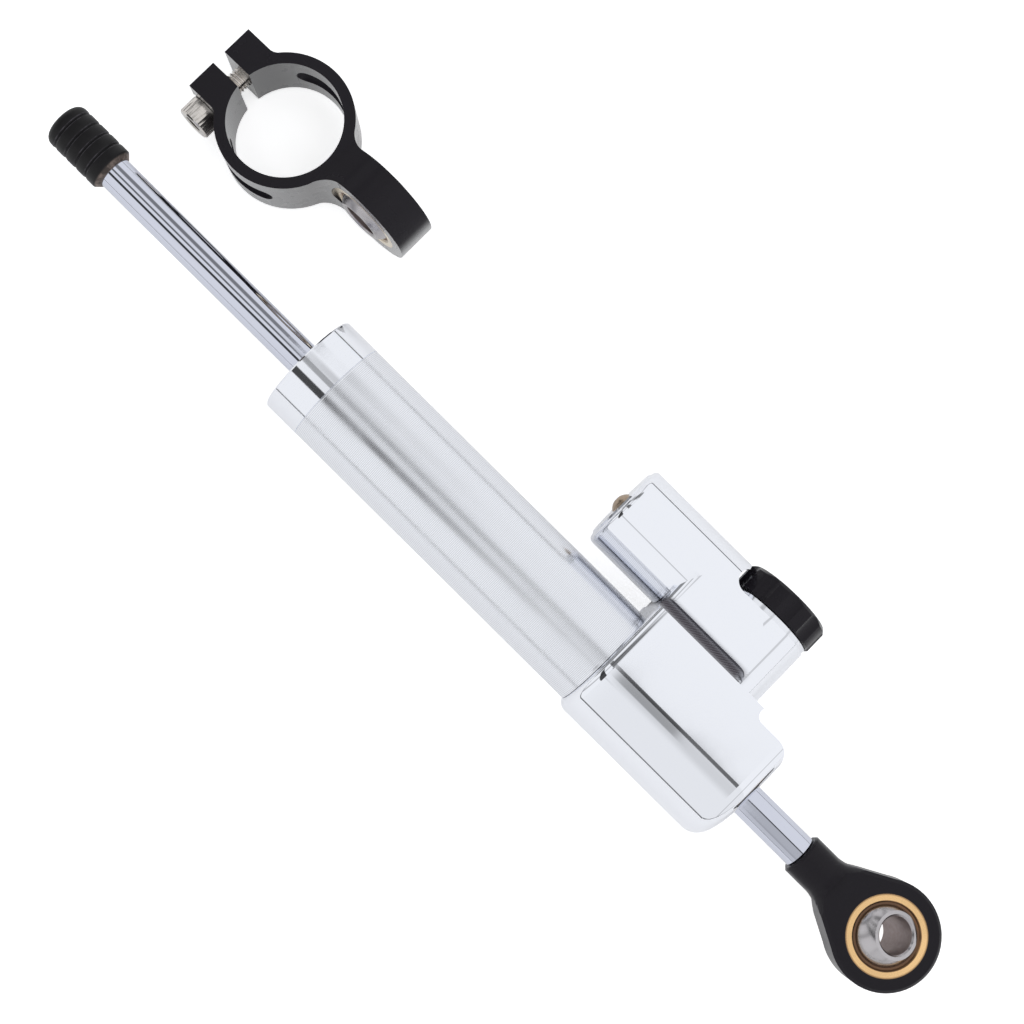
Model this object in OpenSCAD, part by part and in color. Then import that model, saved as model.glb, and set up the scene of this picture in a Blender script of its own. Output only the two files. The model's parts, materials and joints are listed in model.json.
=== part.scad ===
// Adjustable linear steering damper for a motorcycle, with its clamp bracket.
// The origin is the centre of the rod end's ball. +X runs along the rod from the
// rubber stop to the rod end, +Y points to the damping knob, +Z is up off the bench.

/* [Rod] */
// Diameter of the hard chromed through rod
rod_d = 9.5; // [8:0.1:10.5]
// Free rod between the cylinder end cap and the rubber stop, at rest
rod_reach_stop = 71.4; // [60:0.2:90]
// Free rod between the valve block and the rod end, at rest
rod_reach_eye = 22.2; // [18:0.2:30]
// Length of the rubber stop
stop_len = 19.3; // [18:0.1:26]
// Diameter of the rubber stop over its ribs
stop_d = 13; // [12:0.1:15]
// Number of ribs round the rubber stop
stop_ribs = 5; // [4:1:6]

/* [Cylinder] */
// Outer diameter of the cylinder tube and its end cap
tube_d = 30.5; // [30:0.1:33]
// Bore of the cylinder tube
tube_bore = 24; // [22:0.1:24.4]
// Length of tube that shows between the end cap and the valve block
tube_len = 98.8; // [98:0.2:130]
// Length of the end cap that shows
cap_len = 10.7; // [9:0.1:14]
// Length of the end cap's spigot inside the tube
cap_spigot = 8.5; // [7:0.1:9]
// Length of the tube's spigot inside the valve block
tube_spigot = 10; // [8:0.1:12]
// Length of the piston
piston_len = 10; // [8:0.1:12]
// Rest distance from the end cap's spigot to the piston
piston_rest = 19; // [18.7:0.1:22]

/* [Valve block] */
// Half thickness of the block, which is also the radius of its round side
block_r = 17.2; // [16.9:0.1:18]
// Length of the block along the rod
block_len = 51.2; // [49:0.2:60]
// Height of the block's flat top above the rod axis
block_top = 15.3; // [14.8:0.1:17]
// Height of the pad under the reservoir above the rod axis
pad_top = 18.5; // [17.8:0.1:19.4]
// Edge radius at the cylinder side of the block
block_edge_in = 2.7; // [2:0.1:4]
// Edge radius at the rod end side of the block
block_edge_out = 5; // [3:0.1:6]
// Radius of the concave flute between the block and the reservoir
flute_r = 3.5; // [2.5:0.1:3.8]

/* [Reservoir] */
// Outer diameter of the reservoir and of the knob boss
reservoir_d = 25.5; // [25:0.1:26.4]
// Height of the reservoir's axis above the rod axis
reservoir_h = 32.4; // [32:0.1:34]
// How far the reservoir stands out past the block over the tube
reservoir_reach = 24.4; // [22:0.1:34]
// Bore of the reservoir
reservoir_bore = 19.6; // [18:0.1:20]
// Length of the floating compensator piston
compensator_len = 8; // [7:0.1:9]
// Head diameter of the fill screw
fill_head_d = 6.4; // [5.6:0.1:8]

/* [Damping knob] */
// Diameter of the knob
knob_d = 26.3; // [25.9:0.1:27.4]
// Height of the knob
knob_h = 7.4; // [7:0.1:10]
// Number of finger hollows round the knob
knob_hollows = 10; // [8:1:12]
// Height of the knob's seat above the rod axis
seat_h = 36.9; // [36.4:0.1:38]
// Thickness of the click ring under the knob
click_ring_h = 1.4; // [1.2:0.1:1.8]
// Number of click positions in one turn
clicks = 24; // [12:4:32]
// Distance of the knob axis from the cylinder side of the block
knob_inset = 24.7; // [23:0.1:28]

/* [Spherical bearings] */
// Outer diameter of the bearing race
race_d = 22; // [21.4:0.1:23]
// Diameter of the ball
ball_d = 19.05; // [18.6:0.05:19.4]
// Width of the ball across its flat faces
ball_w = 14; // [13:0.1:14.6]
// Bore of the ball
ball_bore = 10; // [8:0.1:10.4]

/* [Rod end] */
// Outer diameter of the rod end's eye
eye_d = 29.7; // [28.5:0.1:32]
// Thickness of both eyes
eye_w = 11; // [10.6:0.1:11.8]
// Distance from the ball's centre to the rod end's open end
eye_shank = 30.1; // [29:0.1:36]
// Diameter of the rod end's neck
neck_d = 12.2; // [11.8:0.1:13.4]
// Turn of the rod end about the rod, in degrees
eye_turn = 0; // [-10:1:20]
// Rest tilt of the ball about the rod axis, in degrees
ball_tilt_x = 15.5; // [0:0.5:16]
// Rest tilt of the ball away from the rod, in degrees
ball_tilt_y = 11; // [0:0.5:12]

/* [Clamp bracket] */
// Bore of the clamp ring, open
clamp_bore = 31.5; // [31:0.1:33]
// Wall of the clamp ring
clamp_wall = 3.1; // [2.8:0.1:4]
// Width of the clamp ring
clamp_w = 17; // [15:0.2:20]
// Width of the open slit between the ears
slit_w = 4.2; // [3:0.1:5]
// Height of one ear above the slit's middle
ear_h = 11; // [10:0.1:12]
// Distance from the ring's centre to the ears' ends
ear_reach = 25; // [24.6:0.1:27]
// Distance from the ring's centre to the clamp bolt
bolt_reach = 19.9; // [19.8:0.1:20.4]
// Thread diameter of the clamp bolt
bolt_d = 6; // [5:0.5:6]
// Distance from the ring's centre to the bracket's eye
bracket_reach = 31.4; // [31:0.1:36]
// Outer diameter of the bracket's eye
bracket_eye_d = 29.4; // [28.6:0.1:31]
// Offset of the bracket's eye from the ring's middle plane
bracket_offset = 2.6; // [0:0.1:4]
// Ring centre along the rod from the ball, on the bench
bracket_x = -261.9; // [-270:0.1:-255]
// Ring centre beside the rod, on the bench
bracket_y = 41.4; // [41:0.1:60]

/* [Hidden] */

$fn = 96;

// Clearances
run_gap = 0.04;
slip_gap = 0.03;
body_gap = 0.4;
cut = 1;
small_edge = 0.5;

// Colours
bright = [0.86, 0.87, 0.89];
chrome = [0.70, 0.72, 0.78];
black = [0.11, 0.11, 0.12];
rubber = [0.07, 0.07, 0.07];
brass = [0.87, 0.68, 0.33];
steel = [0.66, 0.66, 0.67];
bronze = [0.55, 0.38, 0.20];
seal_green = [0.16, 0.25, 0.20];
wiper_white = [0.88, 0.85, 0.78];

// Places along the rod
neck_x = -eye_shank;
block_x1 = neck_x - rod_reach_eye;
block_x0 = block_x1 - block_len;
tube_x0 = block_x0 - tube_len;
cap_x0 = tube_x0 - cap_len;
stop_x1 = cap_x0 - rod_reach_stop;
stop_x0 = stop_x1 - stop_len;
knob_x = block_x0 + knob_inset;
reservoir_x0 = block_x0 - reservoir_reach;
rod_r = rod_d / 2;
tube_r = tube_d / 2;
bore_r = tube_bore / 2;

// Rod glands
gland_wall = 2.3;
gland_r = rod_r + gland_wall;
bush_len = 7;
seal_len = 4;
gland_len = bush_len + seal_len;
wiper_wall = 1.5;
wiper_r = rod_r + wiper_wall;
wiper_len = 2.6;
wiper_proud = 1.3;
wiper_sink = 0.3;
wiper_slope = 0.5;
rod_hole_gap = 0.35;
rod_hole_r = rod_r + rod_hole_gap;
lip_share = 0.55;
lip_slot = 0.8;
cap_gland_x = tube_x0 + cap_spigot;
block_gland_depth = 22;
block_gland_x = block_x1 - block_gland_depth;

// Cylinder joints
thread_wall = 1.6;
spigot_r = bore_r + thread_wall;
tube_end_x = block_x0 + tube_spigot;
oring_d = 1.8;
oring_place = 3;
oring_groove = oring_d + 2 * slip_gap;
joint_ring = 1.3;
cap_edge = 0.4;

// Piston
piston_x0 = tube_x0 + cap_spigot + piston_rest;
piston_r = bore_r - body_gap;
piston_port_r = 0.6;
clip_w = 1.1;
clip_gap = 2;
clip_depth = 0.7;
clip_seat_r = rod_r - clip_depth;
clip_wall = 2.6;
clip_r = clip_seat_r + clip_wall;
ring_w = 4;
ring_t = 1.6;

// Rod ends
rod_thread_step = 0.9;
rod_thread_r = rod_r - rod_thread_step;
rod_thread_x = -15;
rod_edge_in = 0.8;
rod_edge_out = 0.4;
thread_room = 0.8;
stop_floor = 4;
stop_bore_depth = stop_len - stop_floor;
stop_end_room = 1;
stop_nose_share = 0.24;
stop_rib_share = 0.7;
stop_bevel = 1.4;
stop_nose = 2.3;
stop_groove = 0.8;

// Block
reservoir_r = reservoir_d / 2;
boss_r = reservoir_r;
pocket_gap = 0.35;
pocket_round = 3.4;
pocket_bulge = 1.4;
pocket_x1 = knob_x - knob_d / 2 - pocket_gap;
pocket_x0 = pocket_x1 - pocket_bulge;
knob_rise = 0.3;
knob_bottom = seat_h + click_ring_h + knob_rise;
bonnet_r = 6;
bonnet_depth = 9.9;
gallery_r = 3.6;
gallery_floor = 5.5;
gallery_bottom = bore_r + gallery_floor;
port_r = 1.6;
pad_inset = 0.2;
pad_x1 = knob_x + boss_r - pad_inset;
pad_fillet = 2.2;
top_corner = 5.8;
flute_offset = 1.6;
flute_rise = 0.7;
flute_reach = 5.8;
flute_x1 = knob_x + flute_reach;
merge_gap = 0.01;
passage_rise = 1.9;
passage_y = reservoir_h - reservoir_bore / 2 + passage_rise;
plug_step = 1.2;
plug_r = reservoir_bore / 2 + plug_step;
plug_len = 4.5;
plug_spigot = 6;
plug_proud = 0.5;
reservoir_edge = 1.5;
reservoir_wall = 1.6;
reservoir_end_x = pocket_x0 - reservoir_wall;
fill_head_h = 1.7;
fill_thread_r = 2;
fill_hex_r = 1.15;
plug_oring_x = reservoir_x0 + plug_len + plug_spigot / 2;
bleed_r = 0.6;
fill_room = 1;
compensator_rest = 6;
compensator_cup = 2.4;
compensator_wall = 2.6;
compensator_x0 = reservoir_x0 + plug_len + plug_spigot + compensator_rest;

// Needle and knob
stem_r = 2.5;
orifice_r = 1.2;
valve_seat_r = 3;
seat_cone = 0.8;
needle_tip_r = 0.35;
needle_taper = 3;
needle_shoulder = 0.6;
needle_play = 0.05;
seat_depth = 3.4;
seat_bottom = gallery_bottom - seat_depth;
needle_sink = 1.6;
needle_y = gallery_bottom - needle_sink;
needle_lift = 0.8;
drive_r = 2.3;
drive_inset = 1;
drive_y = knob_bottom + drive_inset;
drive_h = 2.2;
drive_top = drive_y + drive_h;
drive_room = 0.4;
screw_gap = 0.3;
screw_y = drive_top + needle_lift + drive_room + screw_gap;
knob_edge = 1;
knob_dish = 0.8;
knob_dish_r = 8.6;
knob_screw_r = 1.6;
knob_head_r = 3;
knob_head_room = 0.2;
knob_screw_sink = 1;
knob_screw_proud = 0.3;
knob_hex_r = 1.2;
knob_hex_floor = 0.4;
needle_ring = 1.2;
needle_groove = 1.4;
needle_oring_depth = 2.6;
needle_oring_y = seat_h - needle_oring_depth;
bonnet_oring_depth = 7;
bonnet_oring_y = seat_h - bonnet_oring_depth;
hub_r = 4.2;
click_r = 9;
click_ball_r = 1.25;
click_run_depth = 0.5;
click_ball_y = seat_h + click_ring_h + click_ball_r - click_run_depth;
click_hole = 5;
click_ring_step = 0.3;
click_pit_depth = 0.25;
click_pit_r = 0.5;
click_coil_gap = 0.1;
click_coil_wall = 0.4;
hollow_r = 6;
hollow_depth = 0.7;

// Bearings and eyes
race_r = race_d / 2;
ball_r = ball_d / 2;
liner_t = 0.55;
race_rim = 1.7;
race_chamfer = 0.6;
ball_chamfer = 0.5;
eye_r = eye_d / 2;
eye_edge = 0.9;
neck_r = neck_d / 2;
neck_edge = 0.6;
flare_x = neck_x + 10.1;
flare_blend = 12;
flare_cone = 0.8;
mill_gap = 0.7;
mill_r = -flare_x - mill_gap;
flare_sink = 0.06;

// Bracket on the bench
clamp_r = clamp_bore / 2;
clamp_out_r = clamp_r + clamp_wall;
bracket_eye_r = bracket_eye_d / 2;
arm_fillet = 8;
ear_fillet = 4;
arm_flare_gap = 1.3;
arm_flare_x = clamp_r + arm_flare_gap;
slot_w = 6;
slot_angles = [67, 117];
lean_reach = ear_reach + bracket_reach;
bracket_lean = asin(bracket_eye_r / norm([lean_reach, clamp_w / 2]))
             - atan2(clamp_w / 2, lean_reach);
bench_z = -block_r;
bracket_z = bench_z + ear_reach * sin(bracket_lean) + clamp_w / 2 * cos(bracket_lean);
bolt_head_r = 5;
bolt_head_h = 6;
bolt_head_room = 0.4;
bolt_seat_sink = 0.3;
bolt_seat_y = ear_h - bolt_seat_sink;
bolt_head_edge = 0.4;
bolt_hex_r = 2.9;
bolt_hex_depth = 3;
bolt_hole_room = 0.15;
bolt_tip_room = 0.4;
bolt_tip_sink = 1.6;
bolt_tip_y = ear_h - bolt_tip_sink;

// Turns a shape that stands along Z so that it lies along X
module along_x(x = 0) {
    translate([x, 0, 0]) rotate([0, 90, 0]) children();
}

// Turns a shape that stands along Z so that it stands along Y
module along_y(y = 0) {
    translate([0, y, 0]) rotate([-90, 0, 0]) children();
}

// Plain bar between two places on the X axis
module bar_x(x0, x1, r) {
    along_x(x0) cylinder(h = x1 - x0, r = r);
}

// Ring between two places on the X axis
module ring_x(x0, x1, r_out, r_in) {
    along_x(x0) difference() {
        cylinder(h = x1 - x0, r = r_out);
        translate([0, 0, -cut]) cylinder(h = x1 - x0 + 2 * cut, r = r_in);
    }
}

// Ring that stands along Y
module ring_y(y0, y1, r_out, r_in) {
    along_y(y0) difference() {
        cylinder(h = y1 - y0, r = r_out);
        translate([0, 0, -cut]) cylinder(h = y1 - y0 + 2 * cut, r = r_in);
    }
}

// Round sealing ring on the X axis, inside a bore
module oring_x(x, r) {
    along_x(x) rotate_extrude() translate([r - slip_gap - oring_d / 2, 0]) circle(d = oring_d);
}

// Round sealing ring on the Y axis, inside a bore
module oring_y(y, r) {
    along_y(y) rotate_extrude() translate([r - slip_gap - oring_d / 2, 0]) circle(d = oring_d);
}

// Groove for the ring on the X axis
module oring_groove_x(x, r) {
    ring_x(x - oring_groove / 2, x + oring_groove / 2, r + cut, r - oring_groove);
}

// Groove for the ring on the Y axis
module oring_groove_y(y, r) {
    ring_y(y - oring_groove / 2, y + oring_groove / 2, r + cut, r - oring_groove);
}

// Bar with a chamfer at each end
module chamfered_bar(x0, x1, r, c0, c1) {
    length = x1 - x0;
    along_x(x0) rotate_extrude() polygon([
        [0, 0], [r - c0, 0], [r, c0], [r, length - c1], [r - c1, length], [0, length]]);
}

// Half outline of a bar with rounded ends, from the axis outwards
module rounded_half(length, r, edge0, edge1) {
    difference() {
        square([r, length]);
        difference() {
            translate([r - edge0, -cut]) square([edge0 + cut, edge0 + cut]);
            translate([r - edge0, edge0]) circle(r = edge0);
        }
        difference() {
            translate([r - edge1, length - edge1]) square([edge1 + cut, edge1 + cut]);
            translate([r - edge1, length - edge1]) circle(r = edge1);
        }
    }
}

// Bar with rounded ends
module rounded_bar(x0, x1, r, edge0, edge1) {
    along_x(x0) rotate_extrude() rounded_half(x1 - x0, r, edge0, edge1);
}

// The rounded bar's outline raised along Y
module rounded_slab(x0, x1, r, edge0, edge1, y0, y1) {
    translate([x0, y1, 0]) rotate([90, 0, 0]) linear_extrude(y1 - y0) rotate([0, 0, -90]) {
        rounded_half(x1 - x0, r, edge0, edge1);
        mirror([1, 0]) rounded_half(x1 - x0, r, edge0, edge1);
    }
}

// Rubber stop on the end of the rod
module rod_stop() {
    r = stop_d / 2;
    pitch = stop_len / (stop_ribs + stop_nose_share);
    color(rubber) along_x(stop_x0) difference() {
        rotate_extrude() difference() {
            union() {
                difference() {
                    square([r, stop_len - stop_bevel]);
                    difference() {
                        translate([r - stop_nose, -cut]) square([stop_nose + cut, stop_nose + cut]);
                        translate([r - stop_nose, stop_nose]) circle(r = stop_nose);
                    }
                }
                polygon([[0, stop_len - stop_bevel], [r, stop_len - stop_bevel],
                         [r - stop_bevel, stop_len], [0, stop_len]]);
            }
            for (k = [1 : stop_ribs - 1])
                translate([r + stop_groove * stop_rib_share, k * pitch]) circle(r = stop_groove);
        }
        translate([0, 0, stop_len - stop_bore_depth])
            cylinder(h = stop_bore_depth + cut, r = rod_r + slip_gap);
    }
}

// Hard chromed rod, right through the cylinder
module damper_rod() {
    x0 = stop_x1 - stop_bore_depth + stop_end_room;
    color(chrome) difference() {
        union() {
            chamfered_bar(x0, neck_x - run_gap, rod_r, rod_edge_in, rod_edge_out);
            chamfered_bar(neck_x - cut, rod_thread_x, rod_thread_r, 0, rod_edge_in);
        }
        for (x = [piston_x0 - clip_w, piston_x0 + piston_len])
            ring_x(x, x + clip_w, rod_r + cut, clip_seat_r);
    }
}

// Piston, clipped on the middle of the rod
module piston() {
    color(bright) difference() {
        chamfered_bar(piston_x0, piston_x0 + piston_len, piston_r, small_edge, small_edge);
        bar_x(piston_x0 - cut, piston_x0 + piston_len + cut, rod_r + slip_gap);
        translate([piston_x0 + (piston_len - ring_w) / 2, 0, 0])
            ring_x(0, ring_w, piston_r + cut, piston_r - ring_t);
        for (k = [0 : 3]) rotate([k * 90, 0, 0])
            translate([piston_x0 - cut, (piston_r + rod_r) / 2, 0])
                bar_x(0, piston_len + 2 * cut, piston_port_r);
    }
}

// Slide ring in the piston's groove
module piston_ring() {
    x = piston_x0 + (piston_len - ring_w) / 2;
    color(bronze)
        ring_x(x + slip_gap, x + ring_w - slip_gap, bore_r - run_gap, piston_r - ring_t + slip_gap);
}

// Two clips that hold the piston in its place on the rod
module piston_clips() {
    color(steel) for (x = [piston_x0 - clip_w, piston_x0 + piston_len]) difference() {
        ring_x(x + slip_gap, x + clip_w - slip_gap, clip_r, clip_seat_r + slip_gap);
        translate([x - cut, 0, -clip_gap / 2]) cube([clip_w + 2 * cut, clip_r + cut, clip_gap]);
    }
}

// Cylinder tube with its spigot in the valve block
module cylinder_tube() {
    color(bright) difference() {
        union() {
            bar_x(tube_x0, block_x0, tube_r);
            bar_x(block_x0 - cut, tube_end_x, spigot_r);
        }
        bar_x(tube_x0 - cut, tube_end_x + cut, bore_r);
    }
}

// End cap that closes the tube and guides the rod on the stop's side
module tube_end_cap() {
    color(bright) difference() {
        union() {
            chamfered_bar(cap_x0, tube_x0, tube_r, cap_edge, 0);
            chamfered_bar(tube_x0 - cut, cap_gland_x, bore_r - slip_gap, 0, small_edge);
        }
        bar_x(cap_x0 - cut, cap_gland_x + cut, rod_hole_r);
        bar_x(cap_gland_x - gland_len, cap_gland_x + cut, gland_r);
        bar_x(cap_x0 - cut, cap_x0 + wiper_len, wiper_r);
        oring_groove_x(tube_x0 + oring_place, bore_r);
    }
}

// Sealing ring on the end cap's spigot
module end_cap_oring() {
    color(rubber) oring_x(tube_x0 + oring_place, bore_r);
}

// Plain bush that a rod slides in, in its gland
module rod_bush(x0, x1) {
    color(bronze) along_x(x0) difference() {
        cylinder(h = x1 - x0, r = gland_r - slip_gap);
        translate([0, 0, -cut]) cylinder(h = x1 - x0 + 2 * cut, r = rod_r + run_gap);
    }
}

// Lip seal round the rod, with the lip open to the oil on the given side
module rod_seal(x0, x1, lip) {
    length = x1 - x0;
    deep = length * lip_share;
    middle_r = (gland_r + rod_r) / 2;
    color(seal_green) along_x(x0) difference() {
        cylinder(h = length, r = gland_r - slip_gap);
        translate([0, 0, -cut]) cylinder(h = length + 2 * cut, r = rod_r + run_gap);
        translate([0, 0, lip > 0 ? length - deep : -cut]) difference() {
            cylinder(h = deep + cut, r = middle_r + lip_slot / 2);
            translate([0, 0, -cut]) cylinder(h = deep + 3 * cut, r = middle_r - lip_slot / 2);
        }
    }
}

// Wiper in its recess, proud of the face on the given side
module rod_wiper(x0, length, proud) {
    color(wiper_white) along_x(x0) rotate_extrude() polygon([
        [rod_r + run_gap, 0], [wiper_r - slip_gap, 0], [wiper_r - slip_gap, length],
        [rod_r + run_gap + proud * wiper_slope, length + proud], [rod_r + run_gap, length + proud]]);
}

module stop_side_bush() {
    rod_bush(cap_gland_x - bush_len, cap_gland_x);
}

module stop_side_seal() {
    rod_seal(cap_gland_x - gland_len, cap_gland_x - bush_len - slip_gap, 1);
}

module stop_side_wiper() {
    rod_wiper(cap_x0 + wiper_sink, wiper_len - wiper_sink, 0);
}

module eye_side_bush() {
    rod_bush(block_gland_x, block_gland_x + bush_len);
}

module eye_side_seal() {
    rod_seal(block_gland_x + bush_len + slip_gap, block_gland_x + gland_len, -1);
}

module eye_side_wiper() {
    rod_wiper(block_x1 - wiper_len, wiper_len, wiper_proud);
}

// Outline of the block's upper half, seen from above
module block_outline() {
    difference() {
        union() {
            translate([block_x0, -cut]) square([block_len, block_top + cut]);
            translate([block_x0, -cut]) square([pad_x1 - block_x0, pad_top + cut]);
            translate([pad_x1 - cut, block_top - cut]) square([pad_fillet + cut, pad_fillet + cut]);
        }
        translate([pad_x1 + pad_fillet, block_top + pad_fillet]) circle(r = pad_fillet);
        translate([block_x1 - top_corner, block_top - top_corner]) difference() {
            square([top_corner + cut, top_corner + cut]);
            circle(r = top_corner);
        }
    }
}

// Solid form of the valve block with the reservoir and the knob boss
module block_form() {
    // Half round underside, turned with the rod's axis
    intersection() {
        rounded_bar(block_x0, block_x1, block_r, block_edge_in, block_edge_out);
        translate([block_x0 - cut, -block_r - cut, -block_r - cut])
            cube([block_len + 2 * cut, block_r + cut, 2 * (block_r + cut)]);
    }
    // Flat sided upper half with the pad
    intersection() {
        rounded_slab(block_x0, block_x1, block_r, block_edge_in, block_edge_out, 0, pad_top);
        translate([0, 0, -block_r - cut]) linear_extrude(2 * (block_r + cut)) block_outline();
    }
    // Web and boss under the reservoir, with the flute along both sides
    difference() {
        union() {
            rounded_slab(block_x0, knob_x + boss_r, reservoir_r, block_edge_in, boss_r - merge_gap,
                         block_top - cut, reservoir_h);
            translate([knob_x, 0, 0]) along_y(block_top - cut)
                cylinder(h = seat_h - block_top + cut, r = boss_r);
        }
        for (side = [-1, 1])
            translate([0, pad_top + flute_rise, side * (reservoir_r + flute_offset)])
                rounded_bar(block_x0 - cut, flute_x1, flute_r, cut / 2, flute_r - merge_gap);
    }
    translate([0, reservoir_h, 0])
        rounded_bar(reservoir_x0, knob_x + cut, reservoir_r, reservoir_edge, cut);
}

// Outline of the knob pocket, seen from above, with its round undercut
module pocket_outline() {
    height = 2 * reservoir_r;
    round_x = pocket_x0 + pocket_round;
    round_y = seat_h + pocket_round;
    difference() {
        translate([pocket_x0, seat_h]) square([pad_x1 - pocket_x0 + pad_fillet + cut, height]);
        translate([round_x, round_y]) difference() {
            translate([-pocket_round - cut, -pocket_round - cut])
                square([pocket_round + cut, pocket_round + cut]);
            circle(r = pocket_round);
        }
        difference() {
            translate([pocket_x0 - cut, round_y]) square([pocket_bulge + cut, height]);
            translate([round_x, round_y]) circle(r = pocket_round);
        }
    }
}

// Valve block, machined in one piece with the reservoir
module valve_block() {
    color(bright) difference() {
        block_form();
        // Tube socket, oil chamber, gland and rod hole
        bar_x(block_x0 - cut, tube_end_x + joint_ring, spigot_r + slip_gap);
        bar_x(block_x0 - cut, block_gland_x, bore_r);
        bar_x(block_gland_x - cut, block_gland_x + gland_len, gland_r);
        bar_x(block_gland_x, block_x1 + cut, rod_hole_r);
        bar_x(block_x1 - wiper_len, block_x1 + cut, wiper_r);
        // Knob pocket, bonnet thread, gallery and port
        translate([0, 0, -reservoir_r - cut]) linear_extrude(2 * (reservoir_r + cut)) pocket_outline();
        translate([knob_x, 0, 0]) {
            along_y(seat_h - bonnet_depth) cylinder(h = bonnet_depth + cut, r = bonnet_r);
            along_y(gallery_bottom) cylinder(h = seat_h - gallery_bottom, r = gallery_r);
            along_y(seat_bottom) cylinder(h = gallery_bottom, r = valve_seat_r);
            along_y(0) cylinder(h = gallery_bottom, r = port_r);
        }
        // Reservoir bore, its plug's counterbore and the passage to the gallery
        translate([0, reservoir_h, 0]) {
            bar_x(reservoir_x0 - cut, reservoir_end_x, reservoir_bore / 2);
            bar_x(reservoir_x0 - cut, reservoir_x0 + plug_len, plug_r);
        }
        translate([0, passage_y, 0]) bar_x(reservoir_end_x - cut, knob_x, port_r);
    }
}

// Sealing ring between the end of the tube and the block
module tube_joint_oring() {
    color(rubber) along_x(tube_end_x + joint_ring / 2) rotate_extrude()
        translate([(bore_r + spigot_r) / 2, 0]) circle(d = joint_ring - slip_gap);
}

// Brass seat that the needle closes on
module valve_seat() {
    color(brass) translate([knob_x, 0, 0]) along_y(seat_bottom) difference() {
        cylinder(h = gallery_bottom - seat_bottom, r = valve_seat_r - slip_gap);
        translate([0, 0, -cut]) cylinder(h = gallery_bottom, r = orifice_r);
        translate([0, 0, gallery_bottom - seat_bottom - seat_cone])
            cylinder(h = seat_cone + cut, r1 = orifice_r, r2 = orifice_r + seat_cone + cut);
    }
}

// Screwed plug that closes the reservoir
module reservoir_cap() {
    color(bright) translate([0, reservoir_h, 0]) difference() {
        union() {
            chamfered_bar(reservoir_x0 - plug_proud, reservoir_x0 + plug_len,
                          plug_r - slip_gap, small_edge, 0);
            chamfered_bar(reservoir_x0 + plug_len - cut, reservoir_x0 + plug_len + plug_spigot,
                          reservoir_bore / 2 - slip_gap, 0, small_edge);
        }
        oring_groove_x(plug_oring_x, reservoir_bore / 2);
        bar_x(reservoir_x0 - cut, reservoir_x0 + plug_len + plug_spigot + cut, bleed_r);
        bar_x(reservoir_x0 - plug_proud - cut, reservoir_x0 + plug_len + fill_room,
              fill_thread_r + slip_gap);
    }
}

module reservoir_cap_oring() {
    color(rubber) translate([0, reservoir_h, 0])
        oring_x(plug_oring_x, reservoir_bore / 2);
}

// Domed screw over the gas filling hole
module fill_screw() {
    dome_r = fill_head_d / 2;
    sphere_r = (dome_r * dome_r + fill_head_h * fill_head_h) / (2 * fill_head_h);
    face_x = reservoir_x0 - plug_proud;
    color(bronze) translate([0, reservoir_h, 0]) difference() {
        union() {
            intersection() {
                translate([face_x - fill_head_h + sphere_r, 0, 0]) sphere(r = sphere_r);
                bar_x(face_x - fill_head_h - cut, face_x, dome_r);
            }
            bar_x(face_x - small_edge / 2, reservoir_x0 + plug_len, fill_thread_r);
        }
        along_x(face_x - fill_head_h - cut) cylinder(h = fill_head_h + cut, r = fill_hex_r, $fn = 6);
    }
}

// Floating piston between the gas and the oil
module compensator_piston() {
    r = reservoir_bore / 2;
    x1 = compensator_x0 + compensator_len;
    color(bright) translate([0, reservoir_h, 0]) difference() {
        chamfered_bar(compensator_x0, x1, r - run_gap, small_edge, small_edge);
        oring_groove_x(compensator_x0 + compensator_len / 2, r);
        bar_x(compensator_x0 - cut, compensator_x0 + compensator_cup, r - compensator_wall);
    }
}

module compensator_oring() {
    color(rubber) translate([0, reservoir_h, 0])
        oring_x(compensator_x0 + compensator_len / 2, reservoir_bore / 2);
}

// Threaded bonnet that holds the needle in the boss
module valve_bonnet() {
    color(brass) translate([knob_x, 0, 0]) difference() {
        along_y(seat_h - bonnet_depth) cylinder(h = bonnet_depth, r = bonnet_r - slip_gap);
        along_y(seat_h - bonnet_depth - cut) cylinder(h = bonnet_depth + 2 * cut, r = stem_r + run_gap);
        oring_groove_y(bonnet_oring_y, bonnet_r);
        ring_y(needle_oring_y - needle_groove / 2, needle_oring_y + needle_groove / 2,
               stem_r + run_gap + needle_ring, stem_r);
    }
}

module bonnet_oring() {
    color(rubber) translate([knob_x, 0, 0]) oring_y(bonnet_oring_y, bonnet_r);
}

// Tapered needle with a six sided drive for the knob
module needle() {
    length = drive_y - needle_y;
    color(steel) translate([knob_x, 0, 0]) {
        along_y(needle_y) rotate_extrude() polygon([
            [0, 0], [needle_tip_r, 0], [orifice_r - needle_play, needle_taper],
            [stem_r, needle_taper + needle_shoulder], [stem_r, length], [0, length]]);
        along_y(drive_y - cut) cylinder(h = drive_h + cut, r = drive_r, $fn = 6);
    }
}

// Sealing ring round the needle, in the bonnet
module needle_oring() {
    color(rubber) translate([knob_x, 0, 0]) along_y(needle_oring_y) rotate_extrude()
        translate([stem_r + run_gap + needle_ring / 2, 0]) circle(d = needle_ring - slip_gap);
}

// Click ring on the boss, with a run for the click ball
module click_ring() {
    color(bright) translate([knob_x, 0, 0]) difference() {
        along_y(seat_h) cylinder(h = click_ring_h, r = boss_r - click_ring_step);
        along_y(seat_h - cut) cylinder(h = click_ring_h + 2 * cut, r = hub_r + body_gap);
        along_y(click_ball_y) rotate_extrude() translate([click_r, 0]) circle(r = click_ball_r + run_gap);
        for (k = [0 : clicks - 1]) rotate([0, k * 360 / clicks, 0])
            translate([click_r, 0, 0]) along_y(click_ball_y - click_ball_r - click_pit_depth)
                cylinder(h = click_ball_r, r = click_pit_r);
    }
}

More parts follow.
